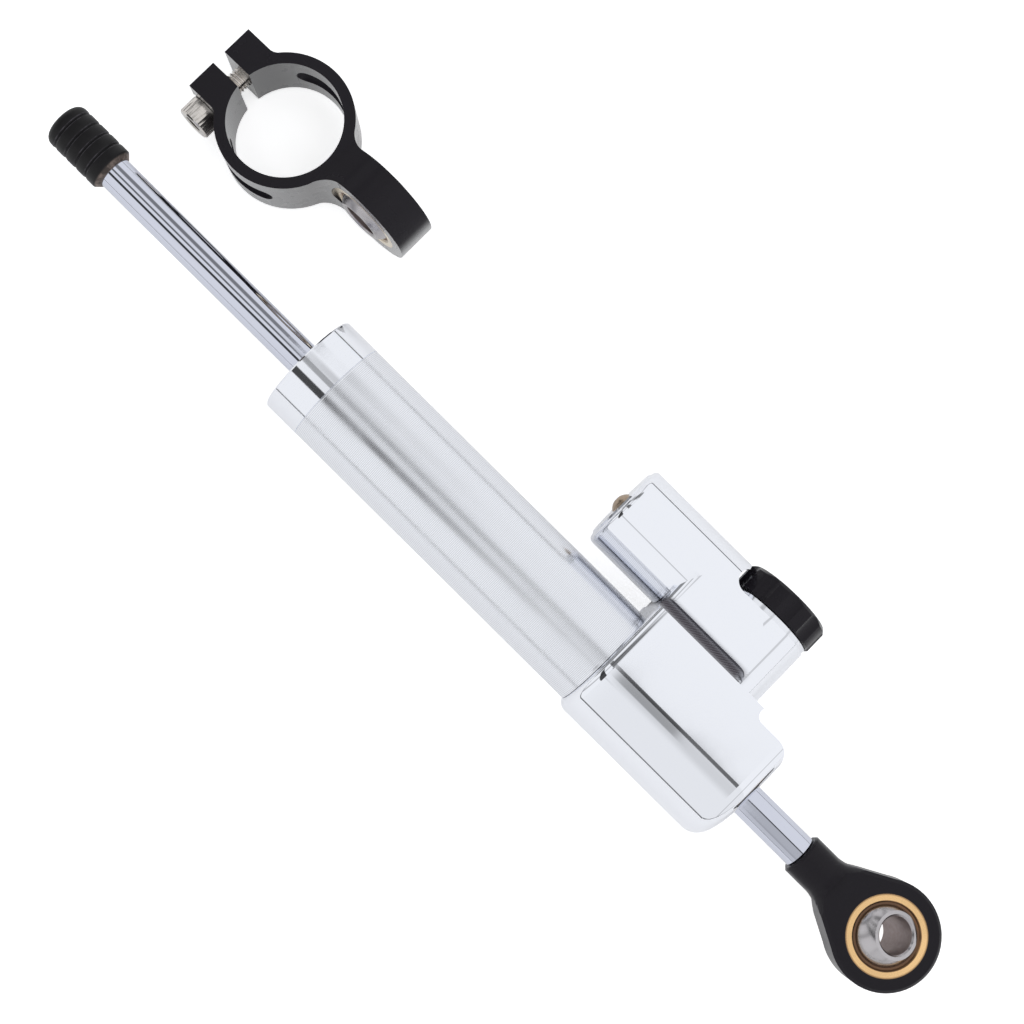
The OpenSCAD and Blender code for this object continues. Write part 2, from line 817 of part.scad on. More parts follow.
// Damping knob with finger hollows
module knob() {
    r = knob_d / 2;
    color(black) translate([knob_x, 0, 0]) difference() {
        union() {
            along_y(knob_bottom) rotate_extrude() polygon([
                [0, 0], [r - small_edge, 0], [r, small_edge], [r, knob_h - knob_edge],
                [r - knob_edge, knob_h], [0, knob_h]]);
            along_y(seat_h + body_gap) cylinder(h = knob_bottom - seat_h, r = hub_r);
        }
        for (k = [0 : knob_hollows - 1]) rotate([0, (k + 0.5) * 360 / knob_hollows, 0])
            translate([r + hollow_r - hollow_depth, 0, 0]) along_y(knob_bottom - cut)
                cylinder(h = knob_h + 2 * cut, r = hollow_r);
        along_y(seat_h) cylinder(h = drive_y - seat_h + needle_lift, r = stem_r + run_gap);
        along_y(drive_y)
            cylinder(h = drive_h + needle_lift + drive_room, r = drive_r + run_gap, $fn = 6);
        along_y(knob_bottom + knob_h - knob_dish) cylinder(h = knob_dish + cut, r = knob_dish_r);
        along_y(screw_y) cylinder(h = knob_h, r = knob_screw_r);
        along_y(knob_bottom + knob_h - knob_dish - knob_screw_sink)
            cylinder(h = knob_h, r = knob_head_r + knob_head_room);
        translate([click_r, 0, 0]) along_y(knob_bottom - cut)
            cylinder(h = click_ball_y - knob_bottom + click_hole + cut, r = click_ball_r + slip_gap);
    }
}

// Screw that holds the knob's drive
module knob_screw() {
    head_y = knob_bottom + knob_h - knob_dish - knob_screw_sink;
    color(steel) translate([knob_x, 0, 0]) difference() {
        union() {
            along_y(head_y) cylinder(h = knob_screw_sink + knob_screw_proud, r = knob_head_r);
            along_y(screw_y) cylinder(h = head_y - screw_y + cut / 2, r = knob_screw_r - slip_gap);
        }
        along_y(head_y + knob_hex_floor) cylinder(h = knob_screw_sink + cut, r = knob_hex_r, $fn = 6);
    }
}

// Ball that clicks from step to step
module click_ball() {
    color(steel) translate([knob_x + click_r, click_ball_y, 0]) sphere(r = click_ball_r);
}

// Spring that presses the click ball down
module click_spring() {
    y0 = click_ball_y + click_ball_r;
    color(steel) translate([knob_x + click_r, 0, 0])
        ring_y(y0 + slip_gap, click_ball_y + click_hole - slip_gap, click_ball_r - click_coil_gap,
               click_ball_r - click_coil_gap - click_coil_wall);
}

// Turns the rod end about the rod, so that its bore stands along the local Z
module eye_frame() {
    rotate([-eye_turn, 0, 0]) children();
}

// Round disc with chamfered rims, standing on the middle plane
module chamfered_disc(r, w, edge) {
    rotate_extrude() polygon([
        [0, -w / 2], [r - edge, -w / 2], [r, -w / 2 + edge],
        [r, w / 2 - edge], [r - edge, w / 2], [0, w / 2]]);
}

// Where the flare's flank leaves the neck and where it meets the eye
flare_start = [flare_x, neck_r];
flare_touch_r = eye_r - flare_sink;
flare_tangent = atan2(neck_r, flare_x) - acos(flare_touch_r / norm(flare_start));
flare_touch = [flare_touch_r * cos(flare_tangent), flare_touch_r * sin(flare_tangent)];
flare_slope = atan2(flare_touch[1] - neck_r, flare_touch[0] - flare_x);

// Flare of the rod end, from the neck to both sides of the eye
module rod_end_flare() {
    run = norm(flare_touch - flare_start);
    intersection() {
        difference() {
            linear_extrude(eye_w, center = true) polygon([
                flare_start, flare_touch, [0, 0], [flare_touch[0], -flare_touch[1]], [flare_x, -neck_r]]);
            for (flip_y = [0, 1]) for (flip_z = [0, 1]) mirror([0, flip_y, 0]) mirror([0, 0, flip_z])
                translate(flare_start) rotate([0, 0, flare_slope]) rotate([90, 0, 90])
                    translate([0, 0, -run]) linear_extrude(3 * run) polygon([
                        [-eye_edge - cut, eye_w / 2 + cut], [cut, eye_w / 2 - eye_edge - cut],
                        [cut, eye_w / 2 + cut]]);
        }
        along_x(flare_x)
            cylinder(h = -flare_x, r1 = neck_r - flare_sink, r2 = neck_r - flare_cone * flare_x);
    }
}

// Concave blend from the neck to the flare, turned round the rod
module neck_blend() {
    inner_r = flare_blend - flare_sink;
    centre = [neck_r + inner_r, flare_x - inner_r * tan(flare_slope / 2)];
    foot_r = neck_r / 2;
    along_x() rotate_extrude() difference() {
        translate([foot_r, centre[1]])
            square([centre[0] - flare_blend * cos(flare_slope) - foot_r, flare_blend * sin(flare_slope)]);
        translate(centre) circle(r = flare_blend);
    }
}

// Rod end with its neck, its flare and its eye
module rod_end_eye() {
    color(black) eye_frame() difference() {
        union() {
            chamfered_disc(eye_r, eye_w, eye_edge);
            rod_end_flare();
            // Turned neck, milled flat on both sides by a cut round the eye
            difference() {
                union() {
                    chamfered_bar(neck_x, flare_x + neck_edge, neck_r, neck_edge, 0);
                    neck_blend();
                }
                for (side = [-1, 1]) translate([0, 0, side * (eye_w / 2 + eye_r)])
                    cylinder(h = 2 * eye_r, r = mill_r, center = true);
            }
        }
        bar_x(neck_x - cut, rod_thread_x + thread_room, rod_thread_r + run_gap);
        cylinder(h = eye_w + cut, r = race_r, center = true);
    }
}

// Race of a spherical bearing, standing on the middle plane
module bearing_race() {
    rotate_extrude() difference() {
        translate([0, -eye_w / 2]) square([race_r, eye_w]);
        circle(r = ball_r + run_gap + liner_t);
        for (side = [-1, 1]) scale([1, side]) polygon([
            [0, eye_w / 2 - race_chamfer], [race_r - race_rim - race_chamfer, eye_w / 2 - race_chamfer],
            [race_r - race_rim, eye_w / 2], [race_r - race_rim, eye_w / 2 + cut], [0, eye_w / 2 + cut]]);
    }
}

// Slide liner between the race and the ball
module bearing_liner() {
    rotate_extrude() difference() {
        intersection() {
            circle(r = ball_r + run_gap + liner_t - slip_gap / 3);
            translate([0, -(eye_w / 2 - race_chamfer)]) square([race_r, eye_w - 2 * race_chamfer]);
        }
        circle(r = ball_r + run_gap);
    }
}

// Ball with its bore, standing along Z
module bearing_ball() {
    difference() {
        intersection() {
            sphere(r = ball_r);
            cylinder(h = ball_w, r = ball_r + cut, center = true);
        }
        cylinder(h = ball_w + cut, r = ball_bore / 2, center = true);
        for (side = [-1, 1]) scale([1, 1, side]) translate([0, 0, ball_w / 2 - ball_chamfer])
            cylinder(h = ball_chamfer + cut, r1 = ball_bore / 2, r2 = ball_bore / 2 + ball_chamfer + cut);
    }
}

module rod_end_race() {
    color(brass) eye_frame() bearing_race();
}

module rod_end_liner() {
    color(bronze) eye_frame() bearing_liner();
}

module rod_end_ball() {
    color(steel) eye_frame() rotate([-ball_tilt_x, 0, 0]) rotate([0, ball_tilt_y, 0]) bearing_ball();
}

// Puts a shape made round the clamp ring's centre on the bench, leaning on its eye
module bracket_frame() {
    translate([bracket_x, bracket_y, bracket_z]) rotate([0, -bracket_lean, 0]) children();
}

// Turns a bearing so that its bore lies across the bracket's arm
module bracket_bearing_frame() {
    bracket_frame() translate([bracket_reach, bracket_offset, 0]) rotate([-90, 0, 0]) children();
}

// Fills the corner between the clamp ring and a line beside it with an arc
module ring_fillet(line_y, r, side) {
    sweep = clamp_out_r - flare_sink + r;
    high = line_y - flare_sink + r;
    centre = [side * sqrt(sweep * sweep - high * high), high];
    touch = centre * (clamp_out_r - flare_sink) / sweep;
    difference() {
        translate([min(centre[0], 0), 0]) square([abs(centre[0]), touch[1]]);
        translate(centre) circle(r = r);
    }
}

// Clamp bracket seen along the ring
module bracket_outline() {
    arm_y0 = bracket_offset - eye_w / 2;
    arm_y1 = bracket_offset + eye_w / 2;
    circle(r = clamp_out_r);
    translate([-ear_reach, -ear_h]) square([ear_reach, 2 * ear_h]);
    translate([0, arm_y0]) square([bracket_reach + bracket_eye_r, eye_w]);
    ring_fillet(ear_h, ear_fillet, -1);
    mirror([0, 1]) ring_fillet(ear_h, ear_fillet, -1);
    ring_fillet(arm_y1, arm_fillet, 1);
    mirror([0, 1]) ring_fillet(-arm_y0, arm_fillet, 1);
}

// Clamp bracket seen from its side, wider at the eye than at the ring
module bracket_side() {
    half = clamp_w / 2;
    corner = [arm_flare_x - bracket_reach, half];
    tangent = atan2(corner[1], corner[0]) - acos(bracket_eye_r / norm(corner));
    touch = [bracket_reach + bracket_eye_r * cos(tangent), bracket_eye_r * sin(tangent)];
    translate([bracket_reach, 0]) circle(r = bracket_eye_r);
    polygon([[-ear_reach, -half], [arm_flare_x, -half], [touch[0], -touch[1]], [bracket_reach, 0],
             [touch[0], touch[1]], [arm_flare_x, half], [-ear_reach, half]]);
}

// Long lightening slot through the ring's wall
module ring_slot(angle0, angle1) {
    far = clamp_out_r + cut;
    intersection() {
        translate([0, 0, -slot_w / 2]) linear_extrude(slot_w)
            polygon([[0, 0], for (angle = [angle0, (angle0 + angle1) / 2, angle1])
                2 * far * [cos(angle), sin(angle)]]);
        cylinder(h = clamp_w, r = far, center = true);
    }
    for (angle = [angle0, angle1]) rotate([0, 0, angle]) along_x(clamp_r - slot_w / 2)
        cylinder(h = clamp_wall + slot_w, r = slot_w / 2);
}

// Clamp bracket with its ring, ears, arm and eye
module clamp_bracket() {
    color(black) bracket_frame() difference() {
        intersection() {
            translate([0, 0, -bracket_eye_r - cut])
                linear_extrude(2 * (bracket_eye_r + cut)) bracket_outline();
            translate([0, 2 * clamp_out_r, 0]) rotate([90, 0, 0])
                linear_extrude(4 * clamp_out_r) bracket_side();
        }
        cylinder(h = 2 * bracket_eye_r, r = clamp_r, center = true);
        translate([-ear_reach - cut, -slit_w / 2, -clamp_w])
            cube([ear_reach - clamp_r * 0.8 + cut, slit_w, 2 * clamp_w]);
        ring_slot(slot_angles[0], slot_angles[1]);
        mirror([0, 1, 0]) ring_slot(slot_angles[0], slot_angles[1]);
        // Bolt holes, plain in one ear and threaded in the other
        translate([-bolt_reach, 0, 0]) {
            along_y(-ear_h - cut) cylinder(h = ear_h + cut, r = bolt_d / 2 + bolt_hole_room);
            along_y(0) cylinder(h = bolt_tip_y + bolt_tip_room, r = bolt_d / 2 + slip_gap);
        }
        // Flat seat for the bolt's head, through the ring's round flank
        translate([-bolt_reach, 0, 0]) along_y(-bolt_seat_y - 2 * bolt_head_h)
            cylinder(h = 2 * bolt_head_h, r = bolt_head_r + bolt_head_room);
        translate([bracket_reach, bracket_offset, 0]) rotate([90, 0, 0])
            cylinder(h = 2 * eye_w, r = race_r, center = true);
    }
}

module bracket_race() {
    color(brass) bracket_bearing_frame() bearing_race();
}

module bracket_liner() {
    color(bronze) bracket_bearing_frame() bearing_liner();
}

module bracket_ball() {
    color(steel) bracket_bearing_frame() bearing_ball();
}

// Socket head bolt that closes the clamp
module clamp_bolt() {
    color(steel) bracket_frame() translate([-bolt_reach, 0, 0]) difference() {
        union() {
            along_y(-bolt_seat_y - bolt_head_h) rotate_extrude() polygon([
                [0, 0], [bolt_head_r - bolt_head_edge, 0], [bolt_head_r, bolt_head_edge],
                [bolt_head_r, bolt_head_h], [0, bolt_head_h]]);
            along_y(-ear_h) cylinder(h = bolt_tip_y + ear_h, r = bolt_d / 2);
        }
        along_y(-bolt_seat_y - bolt_head_h - cut)
            cylinder(h = bolt_hex_depth + cut, r = bolt_hex_r, $fn = 6);
    }
}

cylinder_tube();
tube_end_cap();
end_cap_oring();
stop_side_bush();
stop_side_seal();
stop_side_wiper();
valve_block();
tube_joint_oring();
eye_side_bush();
eye_side_seal();
eye_side_wiper();
valve_seat();
reservoir_cap();
reservoir_cap_oring();
fill_screw();
compensator_piston();
compensator_oring();
valve_bonnet();
bonnet_oring();
needle();
needle_oring();
click_ring();
knob();
knob_screw();
click_ball();
click_spring();
damper_rod();
piston();
piston_ring();
piston_clips();
rod_stop();
rod_end_eye();
rod_end_race();
rod_end_liner();
rod_end_ball();
clamp_bracket();
bracket_race();
bracket_liner();
bracket_ball();
clamp_bolt();
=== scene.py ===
import json
import math

import bmesh
import bpy
from bpy.props import FloatProperty, FloatVectorProperty, IntProperty, PointerProperty
from bpy.types import Operator, Panel, PropertyGroup
from mathutils import Matrix, Vector


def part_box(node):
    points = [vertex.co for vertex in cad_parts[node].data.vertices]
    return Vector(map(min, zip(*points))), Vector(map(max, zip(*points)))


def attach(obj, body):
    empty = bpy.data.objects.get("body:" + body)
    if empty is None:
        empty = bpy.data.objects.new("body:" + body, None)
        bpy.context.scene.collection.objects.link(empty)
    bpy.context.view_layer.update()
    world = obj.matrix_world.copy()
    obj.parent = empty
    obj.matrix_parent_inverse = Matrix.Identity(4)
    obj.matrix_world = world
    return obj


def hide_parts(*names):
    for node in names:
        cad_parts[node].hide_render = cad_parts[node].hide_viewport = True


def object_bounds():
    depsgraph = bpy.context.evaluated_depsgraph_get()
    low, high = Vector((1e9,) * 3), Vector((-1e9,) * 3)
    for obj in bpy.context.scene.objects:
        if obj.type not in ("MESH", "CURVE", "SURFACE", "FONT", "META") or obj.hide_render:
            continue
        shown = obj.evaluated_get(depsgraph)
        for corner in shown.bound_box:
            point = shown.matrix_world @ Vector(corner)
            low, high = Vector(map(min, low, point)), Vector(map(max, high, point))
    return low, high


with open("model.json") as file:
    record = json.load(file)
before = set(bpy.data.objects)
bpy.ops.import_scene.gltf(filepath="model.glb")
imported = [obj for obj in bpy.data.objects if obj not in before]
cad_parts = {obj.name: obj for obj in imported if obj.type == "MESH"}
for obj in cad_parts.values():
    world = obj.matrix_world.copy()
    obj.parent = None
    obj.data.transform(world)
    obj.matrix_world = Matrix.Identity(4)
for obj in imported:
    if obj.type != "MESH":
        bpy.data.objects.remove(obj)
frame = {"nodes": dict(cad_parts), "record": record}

bl_info = {
    "name": "Steering damper finishes",
    "version": (1, 0, 0),
    "blender": (4, 5, 0),
    "location": "3D View > Sidebar > Damper",
    "description": "Dresses the solids of a steering damper with turned, milled and moulded detail",
    "category": "Object",
}

CAD_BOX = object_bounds()
NODES = frame["nodes"]
BODY_OF = {node: body for body, members in frame["record"]["behaviour"]["bodies"].items() for node in members}
MM = 0.001

# Sizes and places of the solids that the finishes follow, from the part's source.
# The tube: its bore, the wider bore of its joint, and its length up to the block
TUBE_BORE = 12.0 * MM
TUBE_JOINT_BORE = 13.6 * MM
TUBE_LENGTH = 98.8 * MM
TUBE_PLAIN_END = 0.5 * MM
TUBE_EDGE = 0.12 * MM
# The flutes of the block: where their shade starts and ends along X, its middle and half width
# along Y, and how far from the middle plane a face still belongs to them
FLUTE_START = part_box("valve_block")[0].x + 24.2 * MM
FLUTE_END = -73.0 * MM
FLUTE_FADE = 4.0 * MM
FLUTE_SHADE_Y = 20.6 * MM
FLUTE_SHADE_HALF = 3.0 * MM
FLUTE_Z = 14.35 * MM
# The two bearings: the tilted ball's axis, the bore, and the radii of the race and of its land
BALL_AXIS = (0.190809, 0.262328, 0.945926)
BALL_BORE = 5.0 * MM
RACE_R = 11.0 * MM
RACE_LAND = 9.2 * MM
# The clamp bracket's own frame, and the bolt's distance from the middle of its ring
BRACKET_PLACE = Vector((-261.9, 41.4, -5.981)) * MM
BRACKET_LEAN = math.radians(-6.365)
BOLT_REACH = 19.9 * MM
# The clamp bolt, along its own axis from the middle of the clamp's gap
BOLT_HEAD_R = 5.0 * MM
BOLT_HEAD_LEN = 6.0 * MM
BOLT_SEAT = -10.7 * MM
BOLT_TIP = 9.4 * MM
BOLT_CORE_R = 2.56 * MM
BOLT_CREST_R = 3.0 * MM
BOLT_SOCKET_R = 2.7 * MM
BOLT_SOCKET_LEN = 3.0 * MM
BOLT_LEAD = 0.4 * MM
# Steps in one turn of the thread
THREAD_STEPS = 36
# The rubber stop: its ribs, the share of a rib that its nose adds, its rounding and its blind bore
STOP_RIBS = 5
STOP_NOSE_SHARE = 0.24
STOP_NOSE = 2.3 * MM
STOP_BEVEL = 1.4 * MM
STOP_FLOOR = 4.0 * MM
# Width of the painted highlight on the stop's open lip
STOP_LIP_HIGHLIGHT_WIDTH = 1.3 * MM
# One valley between two ribs, as (share of its half width, share of its depth)
STOP_VALLEY = [(-1.0, 0.0), (-0.55, 0.3), (-0.4, 0.85), (-0.28, 0.6), (-0.1, 0.75), (0.0, 1.0),
               (0.1, 0.75), (0.28, 0.6), (0.4, 0.85), (0.55, 0.3), (1.0, 0.0)]

# The photograph's camera, over the damper and a little to the knob's far side
CAMERA_PLACE = Vector((-147.2, -34.9, 477.9)) * MM
CAMERA_TILT = math.radians(5.4)
CAMERA_ROLL = math.radians(44.77)
CAMERA_LENS = 63.91
CAMERA_SENSOR = 36.0

# Dark bands of the studio: start, stop and softness in degrees from straight up towards -Y, depth,
# then the part of the studio that holds the band, as its direction along X: from, to and softness
STUDIO_BANDS = [
    (-93.0, -87.5, 0.5, 0.85, -2.0, 2.0, 0.1),
    (87.5, 93.0, 0.5, 0.78, -2.0, 2.0, 0.1),
    (-4.24, 3.0, 0.06, 0.80, 0.100, 0.2, 0.001),
    (0.3, 16.0, 1.5, 0.48, 0.104, 0.15, 0.004),
    (0.3, 24.0, 8.0, 0.20, 0.104, 0.2, 0.003),
    (0.3, 89.0, 1.0, 0.09, 0.10, 2.0, 0.01),
    (-6.2, 1.4, 0.5, 0.90, 0.201, 0.25, 0.002),
    (0.5, 60.0, 1.0, 0.30, 0.201, 0.25, 0.002),
    (50.0, 89.0, 8.0, 0.18, 0.201, 0.25, 0.002),
    (-6.7, 4.5, 1.0, 0.80, -0.9, -0.145, 0.005),
    (-3.8, 7.0, 0.8, 0.55, -0.145, 0.02, 0.005),
    (2.0, 25.0, 4.0, 0.16, -0.12, 0.02, 0.03),
    (22.0, 36.5, 0.8, 0.93, -0.9, -0.02, 0.03),
    (25.6, 28.4, 0.4, 0.35, -0.02, 0.10, 0.01),
    (-48.0, -25.0, 4.0, 0.72, -0.9, -0.145, 0.005),
    (-19.0, -4.0, 5.0, 0.32, -0.145, -0.06, 0.02),
    (-200.0, 200.0, 1.0, 0.30, 0.74, 0.80, 0.01),
    (-200.0, 200.0, 1.0, 0.42, -0.68, -0.52, 0.03),
    (-200.0, 200.0, 1.0, 0.70, -1.1, -0.93, 0.02),
]
STUDIO_LEVEL = 0.97
# Red and green of the studio's white, whose blue is 1
STUDIO_TINT = (0.975, 0.985)
# Strength of the floor's glow, as the camera sees it and as the metal reflects it
FLOOR_GLOW = 0.70
FLOOR_GLOW_SEEN_IN_METAL = 0.22
FLOOR_HALF_SIZE = 3.0
FLOOR_MIDDLE_X = -0.15
FLOOR_GAP = 0.02 * MM


# Sizes and colours that a user would change

class DamperSizes(PropertyGroup):
    """Sizes of the detail that is added to the solids"""
    rib_pitch: FloatProperty(
        name="Rib pitch", description="Distance between the fine ribs turned round the tube",
        default=0.44 * MM, min=0.2 * MM, unit="LENGTH", precision=5)
    rib_depth: FloatProperty(
        name="Rib depth", description="Depth of the fine ribs",
        default=0.030 * MM, unit="LENGTH", precision=5)
    forged_edge: FloatProperty(
        name="Forged edge", description="Edge radius on the rod end",
        default=0.55 * MM, unit="LENGTH", precision=5)
    bracket_edge: FloatProperty(
        name="Bracket edge", description="Edge break on the clamp bracket",
        default=0.28 * MM, unit="LENGTH", precision=5)
    knob_edge: FloatProperty(
        name="Knob edge", description="Edge break on the knob's hollows",
        default=0.25 * MM, unit="LENGTH", precision=5)
    stop_valley: FloatProperty(
        name="Stop valley", description="Half width of the valleys between the stop's ribs",
        default=0.75 * MM, unit="LENGTH", precision=5)
    stop_depth: FloatProperty(
        name="Stop depth", description="Depth of the valleys between the stop's ribs",
        default=0.35 * MM, unit="LENGTH", precision=5)
    knurl_depth: FloatProperty(
        name="Knurl depth", description="Depth of the knurl on the clamp bolt's head",
        default=0.14 * MM, unit="LENGTH", precision=5)
    reamer_pitch: FloatProperty(
        name="Reamer pitch", description="Spacing of the reamer's rings in the balls' bores",
        default=0.34 * MM, unit="LENGTH", precision=5)
    thread_pitch: FloatProperty(
        name="Thread pitch", description="Pitch of the clamp bolt's thread",
        default=1.0 * MM, unit="LENGTH", precision=5)
    knurls: IntProperty(
        name="Knurls", description="Number of knurl ridges round the clamp bolt's head", default=36, min=12)


class DamperColours(PropertyGroup):
    """Colours of the damper's finishes"""
    aluminium: FloatVectorProperty(
        name="Aluminium", description="Polished aluminium", subtype="COLOR", size=4,
        default=(0.885, 0.90, 0.945, 1), min=0, max=1)
    chrome: FloatVectorProperty(
        name="Chrome", description="Hard chrome on the rod", subtype="COLOR", size=4,
        default=(0.66, 0.68, 0.77, 1), min=0, max=1)
    black: FloatVectorProperty(
        name="Black", description="Black anodised finish", subtype="COLOR", size=4,
        default=(0.0125, 0.0112, 0.0140, 1), min=0, max=1)
    rubber: FloatVectorProperty(
        name="Rubber", description="Moulded rubber", subtype="COLOR", size=4,
        default=(0.006, 0.0056, 0.0064, 1), min=0, max=1)
    brass: FloatVectorProperty(
        name="Brass", description="Bearing races and valve pieces", subtype="COLOR", size=4,
        default=(0.95, 0.62, 0.30, 1), min=0, max=1)
    liner: FloatVectorProperty(
        name="Slide liner", description="Woven slide layer in the bearings", subtype="COLOR", size=4,
        default=(0.16, 0.075, 0.03, 1), min=0, max=1)
    steel: FloatVectorProperty(
        name="Steel", description="Ground bearing steel and bolts", subtype="COLOR", size=4,
        default=(0.50, 0.48, 0.49, 1), min=0, max=1)
    stage: FloatVectorProperty(
        name="Stage", description="Pale floor under the part", subtype="COLOR", size=4,
        default=(0.93, 0.93, 0.93, 1), min=0, max=1)


def sizes():
    """The sizes of this scene"""
    return bpy.context.scene.damper_sizes


def colours():
    """The colours of this scene"""
    return bpy.context.scene.damper_colours


# Shared shader effects

TURNING_DEPTH = 0.02 * MM
BLASTED_DEPTH = 0.06 * MM
MILLING_DEPTH = 0.03 * MM
REAMING_DEPTH = 0.02 * MM

def new_group(name, inputs, outputs):
    """Starts a shader node group with named sockets, and returns it with its two end nodes"""
    group = bpy.data.node_groups.new(name, "ShaderNodeTree")
    for label, kind, value in inputs:
        socket = group.interface.new_socket(label, in_out="INPUT", socket_type=kind)
        if value is not None:
            socket.default_value = value
    for label, kind in outputs:
        group.interface.new_socket(label, in_out="OUTPUT", socket_type=kind)
    return group, group.nodes.new("NodeGroupInput"), group.nodes.new("NodeGroupOutput")


def math_node(tree, operation, first, second=None):
    """A Math node between sockets or plain numbers"""
    node = tree.nodes.new("ShaderNodeMath")
    node.operation = operation
    for index, value in enumerate((first, second)):
        if value is None:
            continue
        if isinstance(value, (int, float)):
            node.inputs[index].default_value = value
        else:
            tree.links.new(value, node.inputs[index])
    return node.outputs[0]


def noise_node(tree, vector, scale, detail=3.0, roughness=0.55):
    """A Noise Texture on the given coordinates"""
    node = tree.nodes.new("ShaderNodeTexNoise")
    node.inputs["Detail"].default_value = detail
    node.inputs["Roughness"].default_value = roughness
    if isinstance(scale, (int, float)):
        node.inputs["Scale"].default_value = scale
    else:
        tree.links.new(scale, node.inputs["Scale"])
    tree.links.new(vector, node.inputs["Vector"])
    return node.outputs["Fac"]


def map_range(tree, value, low, high, to_low, to_high, smooth=True):
    """A Map Range node; its limits may be sockets"""
    node = tree.nodes.new("ShaderNodeMapRange")
    node.interpolation_type = "SMOOTHSTEP" if smooth else "LINEAR"
    tree.links.new(value, node.inputs["Value"])
    for label, limit in (("From Min", low), ("From Max", high), ("To Min", to_low), ("To Max", to_high)):
        if isinstance(limit, (int, float)):
            node.inputs[label].default_value = limit
        else:
            tree.links.new(limit, node.inputs[label])
    return node.outputs["Result"]


def stretched(tree, vector, scale):
    """Coordinates scaled differently along each axis"""
    node = tree.nodes.new("ShaderNodeMapping")
    node.inputs["Scale"].default_value = scale
    tree.links.new(vector, node.inputs["Vector"])
    return node.outputs["Vector"]


def mix_colour(tree, factor, first, second):
    """A Mix node for colours"""
    node = tree.nodes.new("ShaderNodeMix")
    node.data_type = "RGBA"
    tree.links.new(factor, node.inputs["Factor"])
    sockets = [socket for socket in node.inputs if socket.type == "RGBA"]
    for socket, value in zip(sockets, (first, second)):
        if isinstance(value, bpy.types.NodeSocket):
            tree.links.new(value, socket)
        else:
            socket.default_value = value
    return next(socket for socket in node.outputs if socket.type == "RGBA")


def bump_node(tree, height, distance, strength):
    """A Bump node over a height; its strength may be a socket"""
    node = tree.nodes.new("ShaderNodeBump")
    node.inputs["Distance"].default_value = distance
    if isinstance(strength, (int, float)):
        node.inputs["Strength"].default_value = strength
    else:
        tree.links.new(strength, node.inputs["Strength"])
    tree.links.new(height, node.inputs["Height"])
    return node.outputs["Normal"]


def split_axes(tree, vector):
    """The X, Y and Z outputs of some coordinates"""
    node = tree.nodes.new("ShaderNodeSeparateXYZ")
    tree.links.new(vector, node.inputs[0])
    return node.outputs


def toned(colour, *factors):
    """A colour with its channels made darker or lighter; one factor serves all three"""
    if len(factors) == 1:
        factors = factors * 3
    return [min(channel * factor, 1.0) for channel, factor in zip(colour[:3], factors)] + [1]


def group_handling():
    """Faint smears that make a finish a little rougher in soft patches"""
    group, start, end = new_group(
        "Handling smears",
        [("Vector", "NodeSocketVector", None), ("Scale", "NodeSocketFloat", 60.0),
         ("Clean", "NodeSocketFloat", 0.10), ("Smeared", "NodeSocketFloat", 0.16)],
        [("Roughness", "NodeSocketFloat"), ("Mask", "NodeSocketFloat")])
    patches = noise_node(group, start.outputs["Vector"], start.outputs["Scale"], 5.0, 0.6)
    mask = map_range(group, patches, 0.42, 0.72, 0.0, 1.0)
    value = map_range(group, mask, 0.0, 1.0, start.outputs["Clean"], start.outputs["Smeared"], smooth=False)
    group.links.new(value, end.inputs["Roughness"])
    group.links.new(mask, end.inputs["Mask"])
    return group


def group_turning():
    """Fine rings that a lathe leaves, across the first coordinate"""
    group, start, end = new_group(
        "Turning marks",
        [("Vector", "NodeSocketVector", None), ("Lines", "NodeSocketFloat", 9000.0),
         ("Strength", "NodeSocketFloat", 0.1)],
        [("Normal", "NodeSocketVector"), ("Lines", "NodeSocketFloat")])
    along = stretched(group, start.outputs["Vector"], (1.0, 0.004, 0.004))
    fine = noise_node(group, along, start.outputs["Lines"], 2.0, 0.5)
    coarse = noise_node(group, along, 900.0, 2.0, 0.5)
    both = math_node(group, "ADD", fine, math_node(group, "MULTIPLY", coarse, 0.5))
    normal = bump_node(group, both, TURNING_DEPTH, start.outputs["Strength"])
    group.links.new(normal, end.inputs["Normal"])
    group.links.new(fine, end.inputs["Lines"])
    return group


def group_blasted():
    """Fine pitted skin of a blasted and anodised or moulded surface"""
    group, start, end = new_group(
        "Blasted skin",
        [("Vector", "NodeSocketVector", None), ("Scale", "NodeSocketFloat", 4200.0),
         ("Strength", "NodeSocketFloat", 0.15)],
        [("Normal", "NodeSocketVector"), ("Height", "NodeSocketFloat")])
    pits = noise_node(group, start.outputs["Vector"], start.outputs["Scale"], 4.0, 0.7)
    normal = bump_node(group, pits, BLASTED_DEPTH, start.outputs["Strength"])
    group.links.new(normal, end.inputs["Normal"])
    group.links.new(pits, end.inputs["Height"])
    return group


